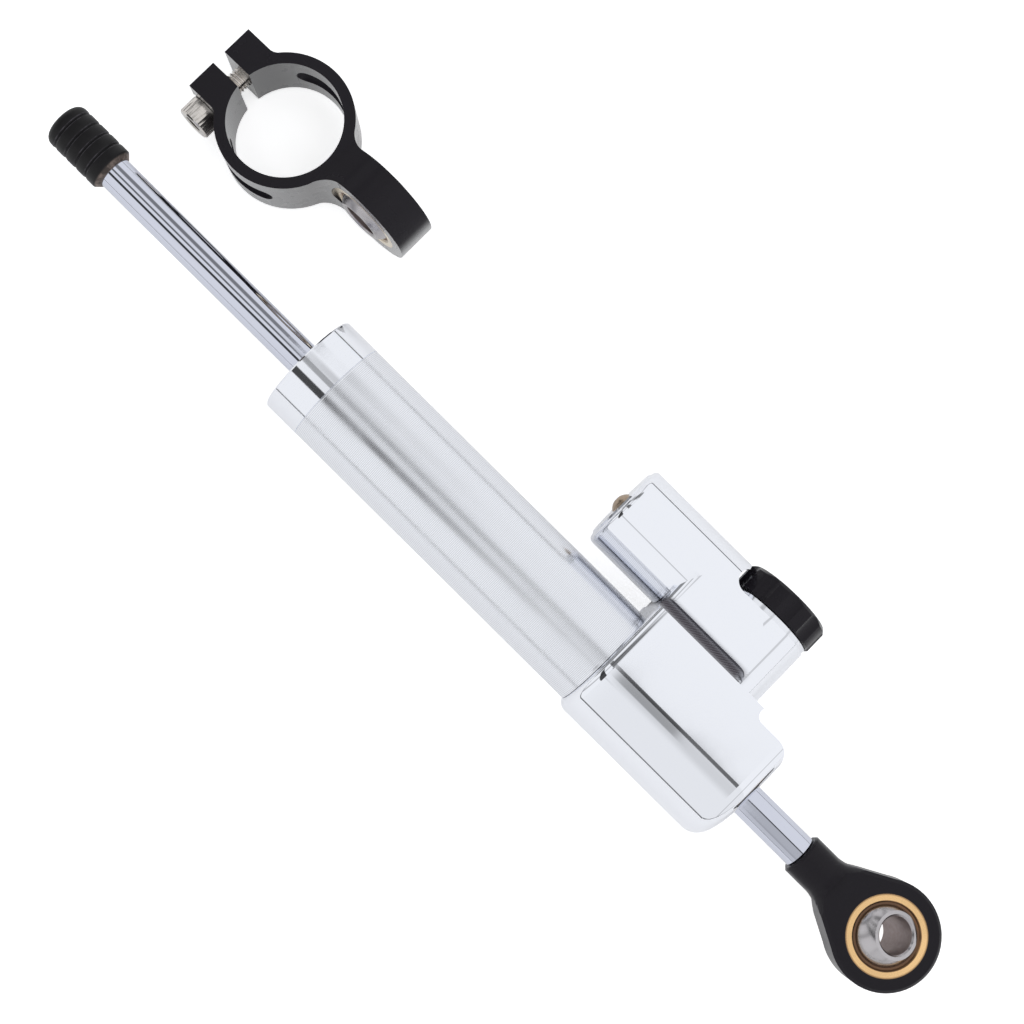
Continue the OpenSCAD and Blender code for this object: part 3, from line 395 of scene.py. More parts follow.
def group_milling():
    """Fine slanted cutter marks inside the flutes between the block and the reservoir"""
    group, start, end = new_group(
        "Flute milling",
        [("Vector", "NodeSocketVector", None), ("Strength", "NodeSocketFloat", 0.6)],
        [("Normal", "NodeSocketVector"), ("Mask", "NodeSocketFloat"), ("Lines", "NodeSocketFloat")])
    place = split_axes(group, start.outputs["Vector"])
    off = math_node(group, "ABSOLUTE", math_node(group, "SUBTRACT", place["Y"], FLUTE_SHADE_Y))
    across = map_range(group, off, 0.3 * MM, FLUTE_SHADE_HALF, 1.0, 0.0)
    low = math_node(group, "LESS_THAN", math_node(group, "ABSOLUTE", place["Z"]), FLUTE_Z)
    come = math_node(group, "GREATER_THAN", place["X"], FLUTE_START)
    leave = map_range(group, place["X"], FLUTE_END - FLUTE_FADE, FLUTE_END, 1.0, 0.0)
    # The mask is the band of the flutes that the block's material paints with shade; the cutter marks and the
    # duller finish follow it
    mask = math_node(group, "MULTIPLY", math_node(group, "MULTIPLY", across, low),
                     math_node(group, "MULTIPLY", come, leave))
    slanted = group.nodes.new("ShaderNodeMapping")
    slanted.inputs["Rotation"].default_value = (0, 0, math.radians(34))
    group.links.new(start.outputs["Vector"], slanted.inputs["Vector"])
    wave = group.nodes.new("ShaderNodeTexWave")
    wave.inputs["Scale"].default_value = 700.0
    wave.inputs["Distortion"].default_value = 2.0
    wave.inputs["Detail"].default_value = 3.0
    wave.inputs["Detail Scale"].default_value = 3.0
    group.links.new(slanted.outputs["Vector"], wave.inputs["Vector"])
    height = math_node(group, "MULTIPLY", wave.outputs["Fac"], mask)
    normal = bump_node(group, height, MILLING_DEPTH, start.outputs["Strength"])
    group.links.new(normal, end.inputs["Normal"])
    group.links.new(mask, end.inputs["Mask"])
    group.links.new(wave.outputs["Fac"], end.inputs["Lines"])
    return group


def group_axis():
    """Distance of a point from an axis through a centre, and its place along that axis"""
    group, start, end = new_group(
        "Round an axis",
        [("Vector", "NodeSocketVector", None), ("Centre", "NodeSocketVector", None),
         ("Axis", "NodeSocketVector", None)],
        [("Distance", "NodeSocketFloat"), ("Along", "NodeSocketFloat")])

    def vector_node(operation, one, other):
        node = group.nodes.new("ShaderNodeVectorMath")
        node.operation = operation
        group.links.new(one, node.inputs[0])
        group.links.new(other, node.inputs[3 if operation == "SCALE" else 1])
        return node

    offset = vector_node("SUBTRACT", start.outputs["Vector"], start.outputs["Centre"]).outputs["Vector"]
    along = vector_node("DOT_PRODUCT", offset, start.outputs["Axis"]).outputs["Value"]
    foot = vector_node("SCALE", start.outputs["Axis"], along).outputs["Vector"]
    away = vector_node("SUBTRACT", offset, foot).outputs["Vector"]
    length = group.nodes.new("ShaderNodeVectorMath")
    length.operation = "LENGTH"
    group.links.new(away, length.inputs[0])
    group.links.new(length.outputs["Value"], end.inputs["Distance"])
    group.links.new(along, end.inputs["Along"])
    return group


GROUPS = {}


def place_group(tree, name, vector, **values):
    """Places a shared effect in a material, built on its first use"""
    if name not in GROUPS:
        GROUPS[name] = {"handling": group_handling, "turning": group_turning,
                        "blasted": group_blasted, "milling": group_milling,
                        "axis": group_axis}[name]()
    node = tree.nodes.new("ShaderNodeGroup")
    node.node_tree = GROUPS[name]
    tree.links.new(vector, node.inputs["Vector"])
    for label, value in values.items():
        node.inputs[label].default_value = value
    return node


# Materials

MATERIALS = {}


def start_material(name, metallic=0.0):
    """A new material with its Principled BSDF and its Object coordinates"""
    material = bpy.data.materials.new(name)
    material.use_nodes = True
    tree = material.node_tree
    shader = tree.nodes["Principled BSDF"]
    shader.inputs["Metallic"].default_value = metallic
    coordinates = tree.nodes.new("ShaderNodeTexCoord")
    return material, tree, shader, coordinates.outputs["Object"]


def connect(tree, shader, colour, roughness, normal=None):
    """Links a finish's colour, roughness and relief to its shader"""
    tree.links.new(colour, shader.inputs["Base Color"])
    tree.links.new(roughness, shader.inputs["Roughness"])
    if normal is not None:
        tree.links.new(normal, shader.inputs["Normal"])


def turned(tree, vector, axis):
    """Coordinates whose first axis is the axis a piece was turned round"""
    node = tree.nodes.new("ShaderNodeMapping")
    node.inputs["Rotation"].default_value = {
        "X": (0, 0, 0), "Y": (0, 0, math.radians(-90)), "Z": (0, math.radians(90), 0)}[axis]
    tree.links.new(vector, node.inputs["Vector"])
    return node.outputs["Vector"]


def metal(name, colour, clean, smeared, axis="X", lines=9000.0, strength=0.1, tint=0.9, scale=60.0):
    """Bare metal with lathe rings and faint smears"""
    material, tree, shader, vector = start_material(name, 1.0)
    smears = place_group(tree, "handling", vector, Scale=scale, Clean=clean, Smeared=smeared)
    rings = place_group(tree, "turning", turned(tree, vector, axis), Lines=lines, Strength=strength)
    connect(tree, shader, mix_colour(tree, rings.outputs["Lines"], toned(colour, tint), list(colour)),
            smears.outputs["Roughness"], rings.outputs["Normal"])
    return material


def ribbed_aluminium():
    """Polished tube with painted shade in the valleys of its fine ribs"""
    material, tree, shader, vector = start_material("ribbed_aluminium", 1.0)
    colour = colours().aluminium
    phase = math_node(tree, "DIVIDE", split_axes(tree, vector)["X"], sizes().rib_pitch)
    wave = math_node(tree, "PINGPONG", phase, 0.5)
    valley = map_range(tree, wave, 0.0, 0.5, 0.0, 1.0)
    smears = place_group(tree, "handling", vector, Scale=45.0, Clean=0.20, Smeared=0.26)
    # Painted shade: the colour darkens in each rib's valley, where shade would fall
    connect(tree, shader, mix_colour(tree, valley, toned(colour, 0.80), list(colour)),
            smears.outputs["Roughness"])
    return material


def block_aluminium():
    """Polished block with painted shade in its flutes, varied a little by the cutter marks, and a duller
    finish there
    """
    material, tree, shader, vector = start_material("block_aluminium", 1.0)
    colour = colours().aluminium
    smears = place_group(tree, "handling", vector, Scale=38.0, Clean=0.025, Smeared=0.05)
    milling = place_group(tree, "milling", vector, Strength=0.5)
    # Painted shade: the flutes' band is drawn near black, a little lighter between the cutter marks
    marks = map_range(tree, milling.outputs["Lines"], 0.0, 1.0, 0.86, 1.0)
    marks = math_node(tree, "MULTIPLY", milling.outputs["Mask"], marks)
    flute_shade = toned(colour, 0.09, 0.075, 0.08)
    rougher = math_node(tree, "MULTIPLY", milling.outputs["Mask"], 0.25)
    connect(tree, shader, mix_colour(tree, marks, list(colour), flute_shade),
            math_node(tree, "ADD", smears.outputs["Roughness"], rougher), milling.outputs["Normal"])
    return material


def brass_race(name, node, axis, lines_axis, colour, depth):
    """Brass race: bright land, a dark seam at its rim and painted shade on the chamfer inside"""
    material, tree, shader, vector = start_material(name, 1.0)
    around = place_group(tree, "axis", vector, Centre=centre_of(node), Axis=axis)
    smears = place_group(tree, "handling", vector, Scale=70.0, Clean=0.16, Smeared=0.28)
    rings = place_group(tree, "turning", turned(tree, vector, lines_axis), Lines=6000.0, Strength=0.12)
    radius = around.outputs["Distance"]
    # Painted shade: the colour darkens towards the land's inner edge, on the chamfer down to the ball; the
    # dark seam at the rim and the smear stains are added to it
    inner = map_range(tree, radius, RACE_LAND - 0.15 * MM, RACE_LAND + 0.2 * MM, depth, 0.0)
    rim = map_range(tree, radius, RACE_R - 0.55 * MM, RACE_R - 0.05 * MM, 0.0, depth * 0.7)
    shade_seam_and_stain = math_node(tree, "ADD", math_node(tree, "ADD", inner, rim),
                      math_node(tree, "MULTIPLY", smears.outputs["Mask"], 0.06))
    connect(tree, shader, mix_colour(tree, shade_seam_and_stain, list(colour), toned(colour, 0.12, 0.09, 0.10)),
            smears.outputs["Roughness"], rings.outputs["Normal"])
    return material


def ball_steel(name, node, axis):
    """Satin steel ball with a dull reamed bore"""
    material, tree, shader, vector = start_material(name, 1.0)
    colour = colours().steel
    around = place_group(tree, "axis", vector, Centre=centre_of(node), Axis=axis)
    smears = place_group(tree, "handling", vector, Scale=90.0, Clean=0.20, Smeared=0.32)
    bore = map_range(tree, around.outputs["Distance"], BALL_BORE + 0.02 * MM, BALL_BORE + 0.15 * MM, 1.0, 0.0)
    phase = math_node(tree, "DIVIDE", around.outputs["Along"], sizes().reamer_pitch)
    wave = math_node(tree, "PINGPONG", phase, 0.5)
    # The bore is drawn darker and browner than the ball, in mottled rings
    bore_mottle = noise_node(tree, vector, 900.0)
    inside = mix_colour(tree, math_node(tree, "MULTIPLY", bore_mottle, math_node(tree, "ADD", wave, 0.5)),
                        toned(colour, 0.52, 0.44, 0.43), toned(colour, 0.92, 0.84, 0.80))
    outside = mix_colour(tree, smears.outputs["Mask"], list(colour), toned(colour, 0.84))
    rougher = math_node(tree, "MULTIPLY", bore, 0.2)
    normal = bump_node(tree, math_node(tree, "MULTIPLY", wave, bore), REAMING_DEPTH, 0.6)
    connect(tree, shader, mix_colour(tree, bore, outside, inside),
            math_node(tree, "ADD", smears.outputs["Roughness"], rougher), normal)
    return material


def black_finish(name, rough, strength, scale=4200.0, glaze=0.0):
    """Black anodised finish over a blasted surface; a glaze shines where it is seen aslant"""
    material, tree, shader, vector = start_material(name)
    colour = colours().black
    skin = place_group(tree, "blasted", vector, Scale=scale, Strength=strength)
    smears = place_group(tree, "handling", vector, Scale=70.0, Clean=rough, Smeared=rough + 0.09)
    connect(tree, shader, mix_colour(tree, skin.outputs["Height"], list(colour), toned(colour, 1.8)),
            smears.outputs["Roughness"], skin.outputs["Normal"])
    edge = tree.nodes.new("ShaderNodeLayerWeight")
    edge.inputs["Blend"].default_value = 0.5
    grazing = map_range(tree, edge.outputs["Facing"], 0.45, 0.95, 0.12, 0.2 if glaze else 1.0)
    tree.links.new(grazing, shader.inputs["Specular IOR Level"])
    if glaze:
        sealed = map_range(tree, edge.outputs["Facing"], 0.4, 0.75, 0.0, glaze)
        tree.links.new(sealed, shader.inputs["Coat Weight"])
        shader.inputs["Coat IOR"].default_value = 4.0
        shader.inputs["Coat Roughness"].default_value = 0.12
    return material


def soft_material(name, colour, rough, scale=2600.0, strength=0.3, spread=1.7, shine=0.5, painted_highlights=False):
    """Rubber or plastic with a matte moulded skin; the rod stop's rubber also gets painted highlights on its
    lip and on the flanks of its valleys
    """
    material, tree, shader, vector = start_material(name)
    skin = place_group(tree, "blasted", vector, Scale=scale, Strength=strength)
    smears = place_group(tree, "handling", vector, Scale=110.0, Clean=rough, Smeared=min(rough + 0.12, 0.95))
    skin_colour = mix_colour(tree, smears.outputs["Mask"], list(colour), toned(colour, spread))
    if painted_highlights:
        skin_colour = lip_and_flank_highlights(tree, vector, skin_colour)
    connect(tree, shader, skin_colour, smears.outputs["Roughness"], skin.outputs["Normal"])
    shader.inputs["Specular IOR Level"].default_value = shine
    return material


def lip_and_flank_highlights(tree, vector, skin_colour):
    """Painted highlight on the rod stop's lip, and painted highlight lines on the flanks of its valleys, both
    broken into patches
    """
    low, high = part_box("rod_stop")
    along = split_axes(tree, vector)["X"]
    patches = map_range(tree, noise_node(tree, vector, 500.0), 0.35, 0.65, 0.25, 1.0)
    # Painted highlight: the lip at the open end is drawn pale beige, where its bevel would reflect the light
    highlight_from = high.x - STOP_LIP_HIGHLIGHT_WIDTH
    lip = map_range(tree, along, highlight_from, highlight_from + 0.5 * MM, 0.0, 1.0)
    skin_colour = mix_colour(tree, math_node(tree, "MULTIPLY", lip, patches), skin_colour, STOP_LIP_HIGHLIGHT)
    # Painted highlight lines: pale strips on both flanks of each valley between the ribs, where the rubber
    # would catch the light
    pitch = (high.x - low.x) / (STOP_RIBS + STOP_NOSE_SHARE)
    ribs = math_node(tree, "DIVIDE", math_node(tree, "SUBTRACT", along, low.x), pitch)
    off = math_node(tree, "MULTIPLY", math_node(tree, "PINGPONG", ribs, 0.5), pitch)
    come = map_range(tree, off, 0.18 * MM, 0.34 * MM, 0.0, 1.0)
    leave = map_range(tree, off, 0.42 * MM, 0.62 * MM, 1.0, 0.0)
    between = math_node(tree, "MULTIPLY", math_node(tree, "GREATER_THAN", ribs, 0.5),
                        math_node(tree, "LESS_THAN", ribs, STOP_RIBS - 0.5))
    flank_highlight = math_node(tree, "MULTIPLY", math_node(tree, "MULTIPLY", come, leave), between)
    return mix_colour(tree, math_node(tree, "MULTIPLY", flank_highlight, patches), skin_colour, STOP_FLANK_HIGHLIGHT)


# Colours that no user would change
# Painted highlights of the rubber stop: on its lip, and on the flanks of its valleys
STOP_LIP_HIGHLIGHT = (0.20, 0.155, 0.135, 1)
STOP_FLANK_HIGHLIGHT = (0.075, 0.070, 0.080, 1)
PALE_BRASS = (0.92, 0.80, 0.62, 1)
BOLT_STEEL = (0.74, 0.70, 0.66, 1)
SCREW_STEEL = (0.46, 0.36, 0.27, 1)
BRONZE = (0.42, 0.27, 0.13, 1)
SEAL_GREEN = (0.02, 0.05, 0.035, 1)
WIPER_CREAM = (0.78, 0.74, 0.66, 1)


def make_materials():
    """Every finish of the damper, by name"""
    tone = colours()
    MATERIALS.update({
        "tube": ribbed_aluminium(),
        "block": block_aluminium(),
        "cap": metal("cap_aluminium", tone.aluminium, clean=0.05, smeared=0.09,
                     lines=7000.0, strength=0.05, tint=0.97, scale=50.0),
        "turned_y": metal("pocket_aluminium", tone.aluminium, clean=0.12, smeared=0.2, axis="Y",
                          lines=8000.0, strength=0.12),
        "chrome": metal("hard_chrome", tone.chrome, clean=0.035, smeared=0.06,
                        lines=12000.0, strength=0.04, tint=0.97, scale=40.0),
        "race": brass_race("rod_end_brass", "rod_end_race", (0, 0, 1), "Z", tone.brass, depth=0.93),
        "race_y": brass_race("bracket_brass", "bracket_race", (0, 1, 0), "Y", PALE_BRASS, depth=0.4),
        "ball": ball_steel("rod_end_ball_steel", "rod_end_ball", BALL_AXIS),
        "ball_y": ball_steel("bracket_ball_steel", "bracket_ball", (0, 1, 0)),
        "brass_y": metal("turned_brass_side", tone.brass, clean=0.16, smeared=0.26, axis="Y",
                         lines=7000.0, strength=0.12, tint=0.86, scale=90.0),
        "steel": metal("bearing_steel", tone.steel, clean=0.10, smeared=0.18, axis="Z",
                       lines=6000.0, strength=0.12, tint=0.85, scale=90.0),
        "bolt": metal("bolt_steel", BOLT_STEEL, clean=0.16, smeared=0.28, axis="Y",
                      lines=5000.0, strength=0.2, tint=0.8, scale=120.0),
        "screw": metal("fill_screw_steel", SCREW_STEEL, clean=0.22, smeared=0.36,
                       lines=5000.0, strength=0.2, tint=0.8, scale=150.0),
        "bronze": metal("sintered_bronze", BRONZE, clean=0.3, smeared=0.42,
                        lines=5000.0, strength=0.2, tint=0.8, scale=150.0),
        "black": black_finish("black_anodised", rough=0.24, strength=0.05, scale=5200.0, glaze=1.0),
        "forged": black_finish("black_rod_end", rough=0.34, strength=0.20, scale=3200.0),
        "knob": black_finish("black_knob", rough=0.24, strength=0.08, scale=5200.0),
        "rubber": soft_material("moulded_rubber", tone.rubber, rough=0.5, scale=2400.0, strength=0.35),
        "stop": soft_material("stop_rubber", tone.rubber, rough=0.42, scale=2400.0, strength=0.3,
                              shine=0.22, painted_highlights=True),
        "liner": soft_material("woven_liner", tone.liner, rough=0.42, scale=5200.0, strength=0.5,
                               spread=1.4),
        "seal": soft_material("seal_rubber", SEAL_GREEN, rough=0.45, scale=2400.0, strength=0.25),
        "wiper": soft_material("wiper_plastic", WIPER_CREAM, rough=0.4, scale=2400.0, strength=0.2,
                               spread=1.06),
    })


CAD_FINISH = {
    "tube_end_cap": "cap", "reservoir_cap": "cap", "compensator_piston": "cap", "piston": "cap",
    "cylinder_tube": "tube", "valve_block": "block", "click_ring": "turned_y",
    "damper_rod": "chrome", "piston_ring": "bronze", "piston_clips": "bolt",
    "stop_side_bush": "bronze", "eye_side_bush": "bronze",
    "stop_side_seal": "seal", "eye_side_seal": "seal",
    "stop_side_wiper": "seal", "eye_side_wiper": "wiper",
    "valve_seat": "brass_y", "valve_bonnet": "brass_y", "needle": "bolt",
    "knob": "knob", "knob_screw": "bolt", "click_ball": "steel", "click_spring": "bolt",
    "fill_screw": "screw", "rod_stop": "stop",
    "end_cap_oring": "rubber", "tube_joint_oring": "rubber", "reservoir_cap_oring": "rubber",
    "compensator_oring": "rubber", "bonnet_oring": "rubber", "needle_oring": "rubber",
    "rod_end_eye": "forged", "rod_end_race": "race", "rod_end_liner": "liner", "rod_end_ball": "ball",
    "clamp_bracket": "black", "bracket_race": "race_y", "bracket_liner": "liner", "bracket_ball": "ball_y",
    "clamp_bolt": "bolt",
}


def dress(piece, finish):
    """Gives a piece one finish all over"""
    piece.data.materials.clear()
    piece.data.materials.append(MATERIALS[finish])


# Mesh helpers

def smooth_all(mesh):
    """Smooth shading on every face"""
    mesh.polygons.foreach_set("use_smooth", [True] * len(mesh.polygons))


def add_piece(name, mesh, finish, body, slot, *replaced):
    """Puts a finished mesh in the scene as a piece of the damper"""
    piece = bpy.data.objects.new(name, mesh)
    bpy.context.scene.collection.objects.link(piece)
    dress(piece, finish)
    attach(piece, body)
    if replaced:
        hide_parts(*replaced)
    return piece


def centre_of(node):
    """Middle of a node's box"""
    low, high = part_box(node)
    return (low + high) / 2


def slot_of(node):
    """The material slot that the record gives a node"""
    return next(part["material_slot"] for part in frame["record"]["subparts"] if part["node"] == node)


def spun_shape(points, steps, ring=False):
    """Spins a half outline of (along, radius) points round X into a closed solid"""
    shape = bmesh.new()
    corners = [shape.verts.new((along, radius, 0)) for along, radius in points]
    edges = [shape.edges.new(pair) for pair in zip(corners, corners[1:])]
    if ring:
        edges.append(shape.edges.new((corners[-1], corners[0])))
    bmesh.ops.spin(shape, geom=corners + edges, cent=(0, 0, 0), axis=(1, 0, 0), dvec=(0, 0, 0),
                   angle=math.tau, steps=steps, use_merge=True, use_duplicate=False)
    bmesh.ops.remove_doubles(shape, verts=shape.verts, dist=1e-7)
    bmesh.ops.recalc_face_normals(shape, faces=shape.faces)
    return shape


def finished_mesh(name, shape, place=None):
    """Turns a shape into a smooth mesh at its place, and frees the shape"""
    if place is not None:
        bmesh.ops.transform(shape, matrix=place, verts=shape.verts)
    mesh = bpy.data.meshes.new(name)
    shape.to_mesh(mesh)
    shape.free()
    smooth_all(mesh)
    return mesh


def sharp_by_angle(mesh, degrees):
    """Keeps the shading sharp at edges that turn more than an angle"""
    mesh.set_sharp_from_angle(angle=math.radians(degrees))


def spun_mesh(name, points, steps, ring=False):
    """A turned piece with sharp shading at its corners"""
    mesh = finished_mesh(name, spun_shape(points, steps, ring))
    sharp_by_angle(mesh, 32)
    return mesh


def merged_copy(node, name):
    """A copy of a CAD node's mesh with its loose triangles joined into whole faces"""
    shape = bmesh.new()
    shape.from_mesh(NODES[node].data)
    bmesh.ops.remove_doubles(shape, verts=shape.verts, dist=2e-6)
    bmesh.ops.dissolve_degenerate(shape, dist=1e-6, edges=shape.edges)
    bmesh.ops.dissolve_limit(shape, angle_limit=math.radians(0.3), use_dissolve_boundaries=False,
                             verts=shape.verts, edges=shape.edges, delimit={"NORMAL"})
    return finished_mesh(name, shape)


def edged_copy(node, name, width, segments=3, angle=28.0):
    """A piece that stands for a CAD node, with the same form and softly broken edges"""
    piece = add_piece(name, merged_copy(node, name), CAD_FINISH[node], BODY_OF[node], slot_of(node), node)
    bevel = piece.modifiers.new("Broken edges", "BEVEL")
    bevel.width = width
    bevel.segments = segments
    bevel.limit_method = "ANGLE"
    bevel.angle_limit = math.radians(angle)
    bevel.miter_outer = "MITER_ARC"
    even = piece.modifiers.new("Even shading", "WEIGHTED_NORMAL")
    even.mode = "FACE_AREA"
    even.keep_sharp = True
    return piece


# Operators, one for each piece or group of like pieces

class DAMPER_OT_finishes(Operator):
    """Builds the finishes and puts them on every solid of the frame"""
    bl_idname = "damper.finishes"
    bl_label = "Finishes"

    def execute(self, context):
        make_materials()
        for node, finish in CAD_FINISH.items():
            dress(NODES[node], finish)
        missing = set(NODES) - set(CAD_FINISH)
        if missing:
            raise RuntimeError(f"no finish for {sorted(missing)}")
        return {"FINISHED"}


class DAMPER_OT_tube(Operator):
    """Turns the cylinder tube with its fine ribs"""
    bl_idname = "damper.tube"
    bl_label = "Ribbed tube"

    def execute(self, context):
        low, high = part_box("cylinder_tube")
        radius = high.z
        joint_x = low.x + TUBE_LENGTH
        size = sizes()
        first = low.x + TUBE_PLAIN_END
        count = int((joint_x - low.x - 2 * TUBE_PLAIN_END) / size.rib_pitch)
        points = [(low.x, TUBE_BORE), (low.x, radius - TUBE_EDGE), (low.x + TUBE_EDGE, radius)]
        for index in range(count):
            start = first + index * size.rib_pitch
            points.append((start, radius))
            points.append((start + size.rib_pitch / 2, radius - size.rib_depth))
        points += [(first + count * size.rib_pitch, radius), (joint_x, radius),
                   (joint_x, TUBE_JOINT_BORE), (high.x, TUBE_JOINT_BORE), (high.x, TUBE_BORE)]
        mesh = spun_mesh("ribbed_tube", points, 96, ring=True)
        add_piece("ribbed_tube", mesh, "tube", "damper", "bright_aluminium", "cylinder_tube")
        return {"FINISHED"}


class DAMPER_OT_stop(Operator):
    """Moulds the rubber stop with its ribs and the fine lines in its valleys"""
    bl_idname = "damper.stop"
    bl_label = "Rubber stop"

    def execute(self, context):
        low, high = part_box("rod_stop")
        radius = high.z
        size = sizes()
        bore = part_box("damper_rod")[1].z + 0.03 * MM
        floor = low.x + STOP_FLOOR
        bevel_x = high.x - STOP_BEVEL
        pitch = (high.x - low.x) / (STOP_RIBS + STOP_NOSE_SHARE)
        points = [(low.x, 0), (low.x, radius - STOP_NOSE)]
        for step in range(1, 8):
            turn = math.radians(90 * step / 8)
            points.append((low.x + STOP_NOSE * (1 - math.cos(turn)),
                           radius - STOP_NOSE * (1 - math.sin(turn))))
        for rib in range(1, STOP_RIBS):
            middle = low.x + rib * pitch
            points += [(middle + along * size.stop_valley, radius - depth * size.stop_depth)
                       for along, depth in STOP_VALLEY]
        points += [(bevel_x - 0.1 * MM, radius), (bevel_x + 0.08 * MM, radius - 0.12 * MM),
                   (high.x, radius - STOP_BEVEL), (high.x, bore), (floor, bore), (floor, 0)]
        mesh = spun_mesh("moulded_stop", points, 72)
        add_piece("moulded_stop", mesh, "stop", "rod", slot_of("rod_stop"), "rod_stop")
        return {"FINISHED"}


class DAMPER_OT_bolt(Operator):
    """Turns the clamp bolt with its knurled head, its hexagon socket and its thread"""
    bl_idname = "damper.bolt"
    bl_label = "Clamp bolt"

    def execute(self, context):
        size = sizes()
        place = (Matrix.Translation(BRACKET_PLACE) @ Matrix.Rotation(BRACKET_LEAN, 4, "Y")
                 @ Matrix.Translation((-BOLT_REACH, 0, 0)) @ Matrix.Rotation(math.radians(90), 4, "Z"))
        top = BOLT_SEAT - BOLT_HEAD_LEN
        floor = top + BOLT_SOCKET_LEN
        shape = spun_shape(
            [(floor, 0), (floor - 0.2 * MM, BOLT_SOCKET_R), (top + 0.2 * MM, BOLT_SOCKET_R),
             (top, BOLT_SOCKET_R + 0.2 * MM), (top, BOLT_HEAD_R - BOLT_LEAD), (top + BOLT_LEAD, BOLT_HEAD_R),
             (top + 2 * BOLT_LEAD, BOLT_HEAD_R), (BOLT_SEAT - 2 * BOLT_LEAD, BOLT_HEAD_R),
             (BOLT_SEAT - BOLT_LEAD, BOLT_HEAD_R - 0.15 * MM), (BOLT_SEAT, BOLT_HEAD_R - 0.15 * MM),
             (BOLT_SEAT, BOLT_CORE_R), (BOLT_TIP - BOLT_LEAD, BOLT_CORE_R),
             (BOLT_TIP, BOLT_CORE_R - BOLT_LEAD), (BOLT_TIP, 0)], 2 * size.knurls)
        self.knurl(shape, size)
        self.hexagon(shape, floor)
        self.thread(shape, size)
        bmesh.ops.recalc_face_normals(shape, faces=shape.faces)
        mesh = finished_mesh("threaded_bolt", shape, place)
        sharp_by_angle(mesh, 35)
        add_piece("threaded_bolt", mesh, "bolt", "bracket", slot_of("clamp_bolt"), "clamp_bolt")
        return {"FINISHED"}

    def knurl(self, shape, size):
        """Presses every second line of the head inwards"""
        pressed = [v for v in shape.verts if v.co.yz.length > BOLT_HEAD_R - 0.05 * MM
                   and round(math.atan2(v.co.z, v.co.y) / math.tau * 2 * size.knurls) % 2]
        narrow = 1 - size.knurl_depth / BOLT_HEAD_R
        bmesh.ops.scale(shape, vec=(1, narrow, narrow), verts=pressed)

    def hexagon(self, shape, floor):
        """Draws the round socket in to a hexagon"""
        hollow = [v for v in shape.verts
                  if v.co.x < floor - 0.1 * MM and 0 < v.co.yz.length < BOLT_SOCKET_R + 0.1 * MM]
        for vertex in hollow:
            turn = math.atan2(vertex.co.z, vertex.co.y) % math.radians(60) - math.radians(30)
            narrow = math.cos(math.radians(30)) / math.cos(turn)
            bmesh.ops.scale(shape, vec=(1, narrow, narrow), verts=[vertex])

    def thread(self, shape, size):
        """Sweeps one ridge of the thread along a helix"""
        pitch = size.thread_pitch
        turns = int((BOLT_TIP - BOLT_LEAD - BOLT_SEAT) / pitch) - 1
        start = BOLT_SEAT + 0.2 * MM
        section = [(start, BOLT_CORE_R - 0.1 * MM), (start + 0.12 * pitch, BOLT_CORE_R),
                   (start + 0.45 * pitch, BOLT_CREST_R), (start + 0.55 * pitch, BOLT_CREST_R),
                   (start + 0.88 * pitch, BOLT_CORE_R), (start + pitch, BOLT_CORE_R - 0.1 * MM)]
        corners = [shape.verts.new((along, radius, 0)) for along, radius in section]
        edges = [shape.edges.new(pair) for pair in zip(corners, corners[1:] + corners[:1])]
        swept = bmesh.ops.spin(
            shape, geom=corners + edges, cent=(0, 0, 0), axis=(1, 0, 0),
            dvec=(pitch / THREAD_STEPS, 0, 0), angle=math.tau * turns, steps=THREAD_STEPS * turns,
            use_merge=False, use_duplicate=False)
        last = [item for item in swept["geom_last"] if isinstance(item, bmesh.types.BMEdge)]
        bmesh.ops.holes_fill(shape, edges=edges + last)


class DAMPER_OT_knob(Operator):
    """Breaks the edges of the knob's hollows"""
    bl_idname = "damper.knob"
    bl_label = "Knob"

    def execute(self, context):
        edged_copy("knob", "grip_knob", sizes().knob_edge)
        return {"FINISHED"}


class DAMPER_OT_rod_end(Operator):
    """Rounds the edges of the forged rod end"""
    bl_idname = "damper.rod_end"
    bl_label = "Rod end"

    def execute(self, context):
        edged_copy("rod_end_eye", "forged_rod_end", sizes().forged_edge, segments=4, angle=24.0)
        return {"FINISHED"}


class DAMPER_OT_bracket(Operator):
    """Breaks the edges of the milled clamp bracket"""
    bl_idname = "damper.bracket"
    bl_label = "Clamp bracket"

    def execute(self, context):
        edged_copy("clamp_bracket", "milled_bracket", sizes().bracket_edge)
        return {"FINISHED"}


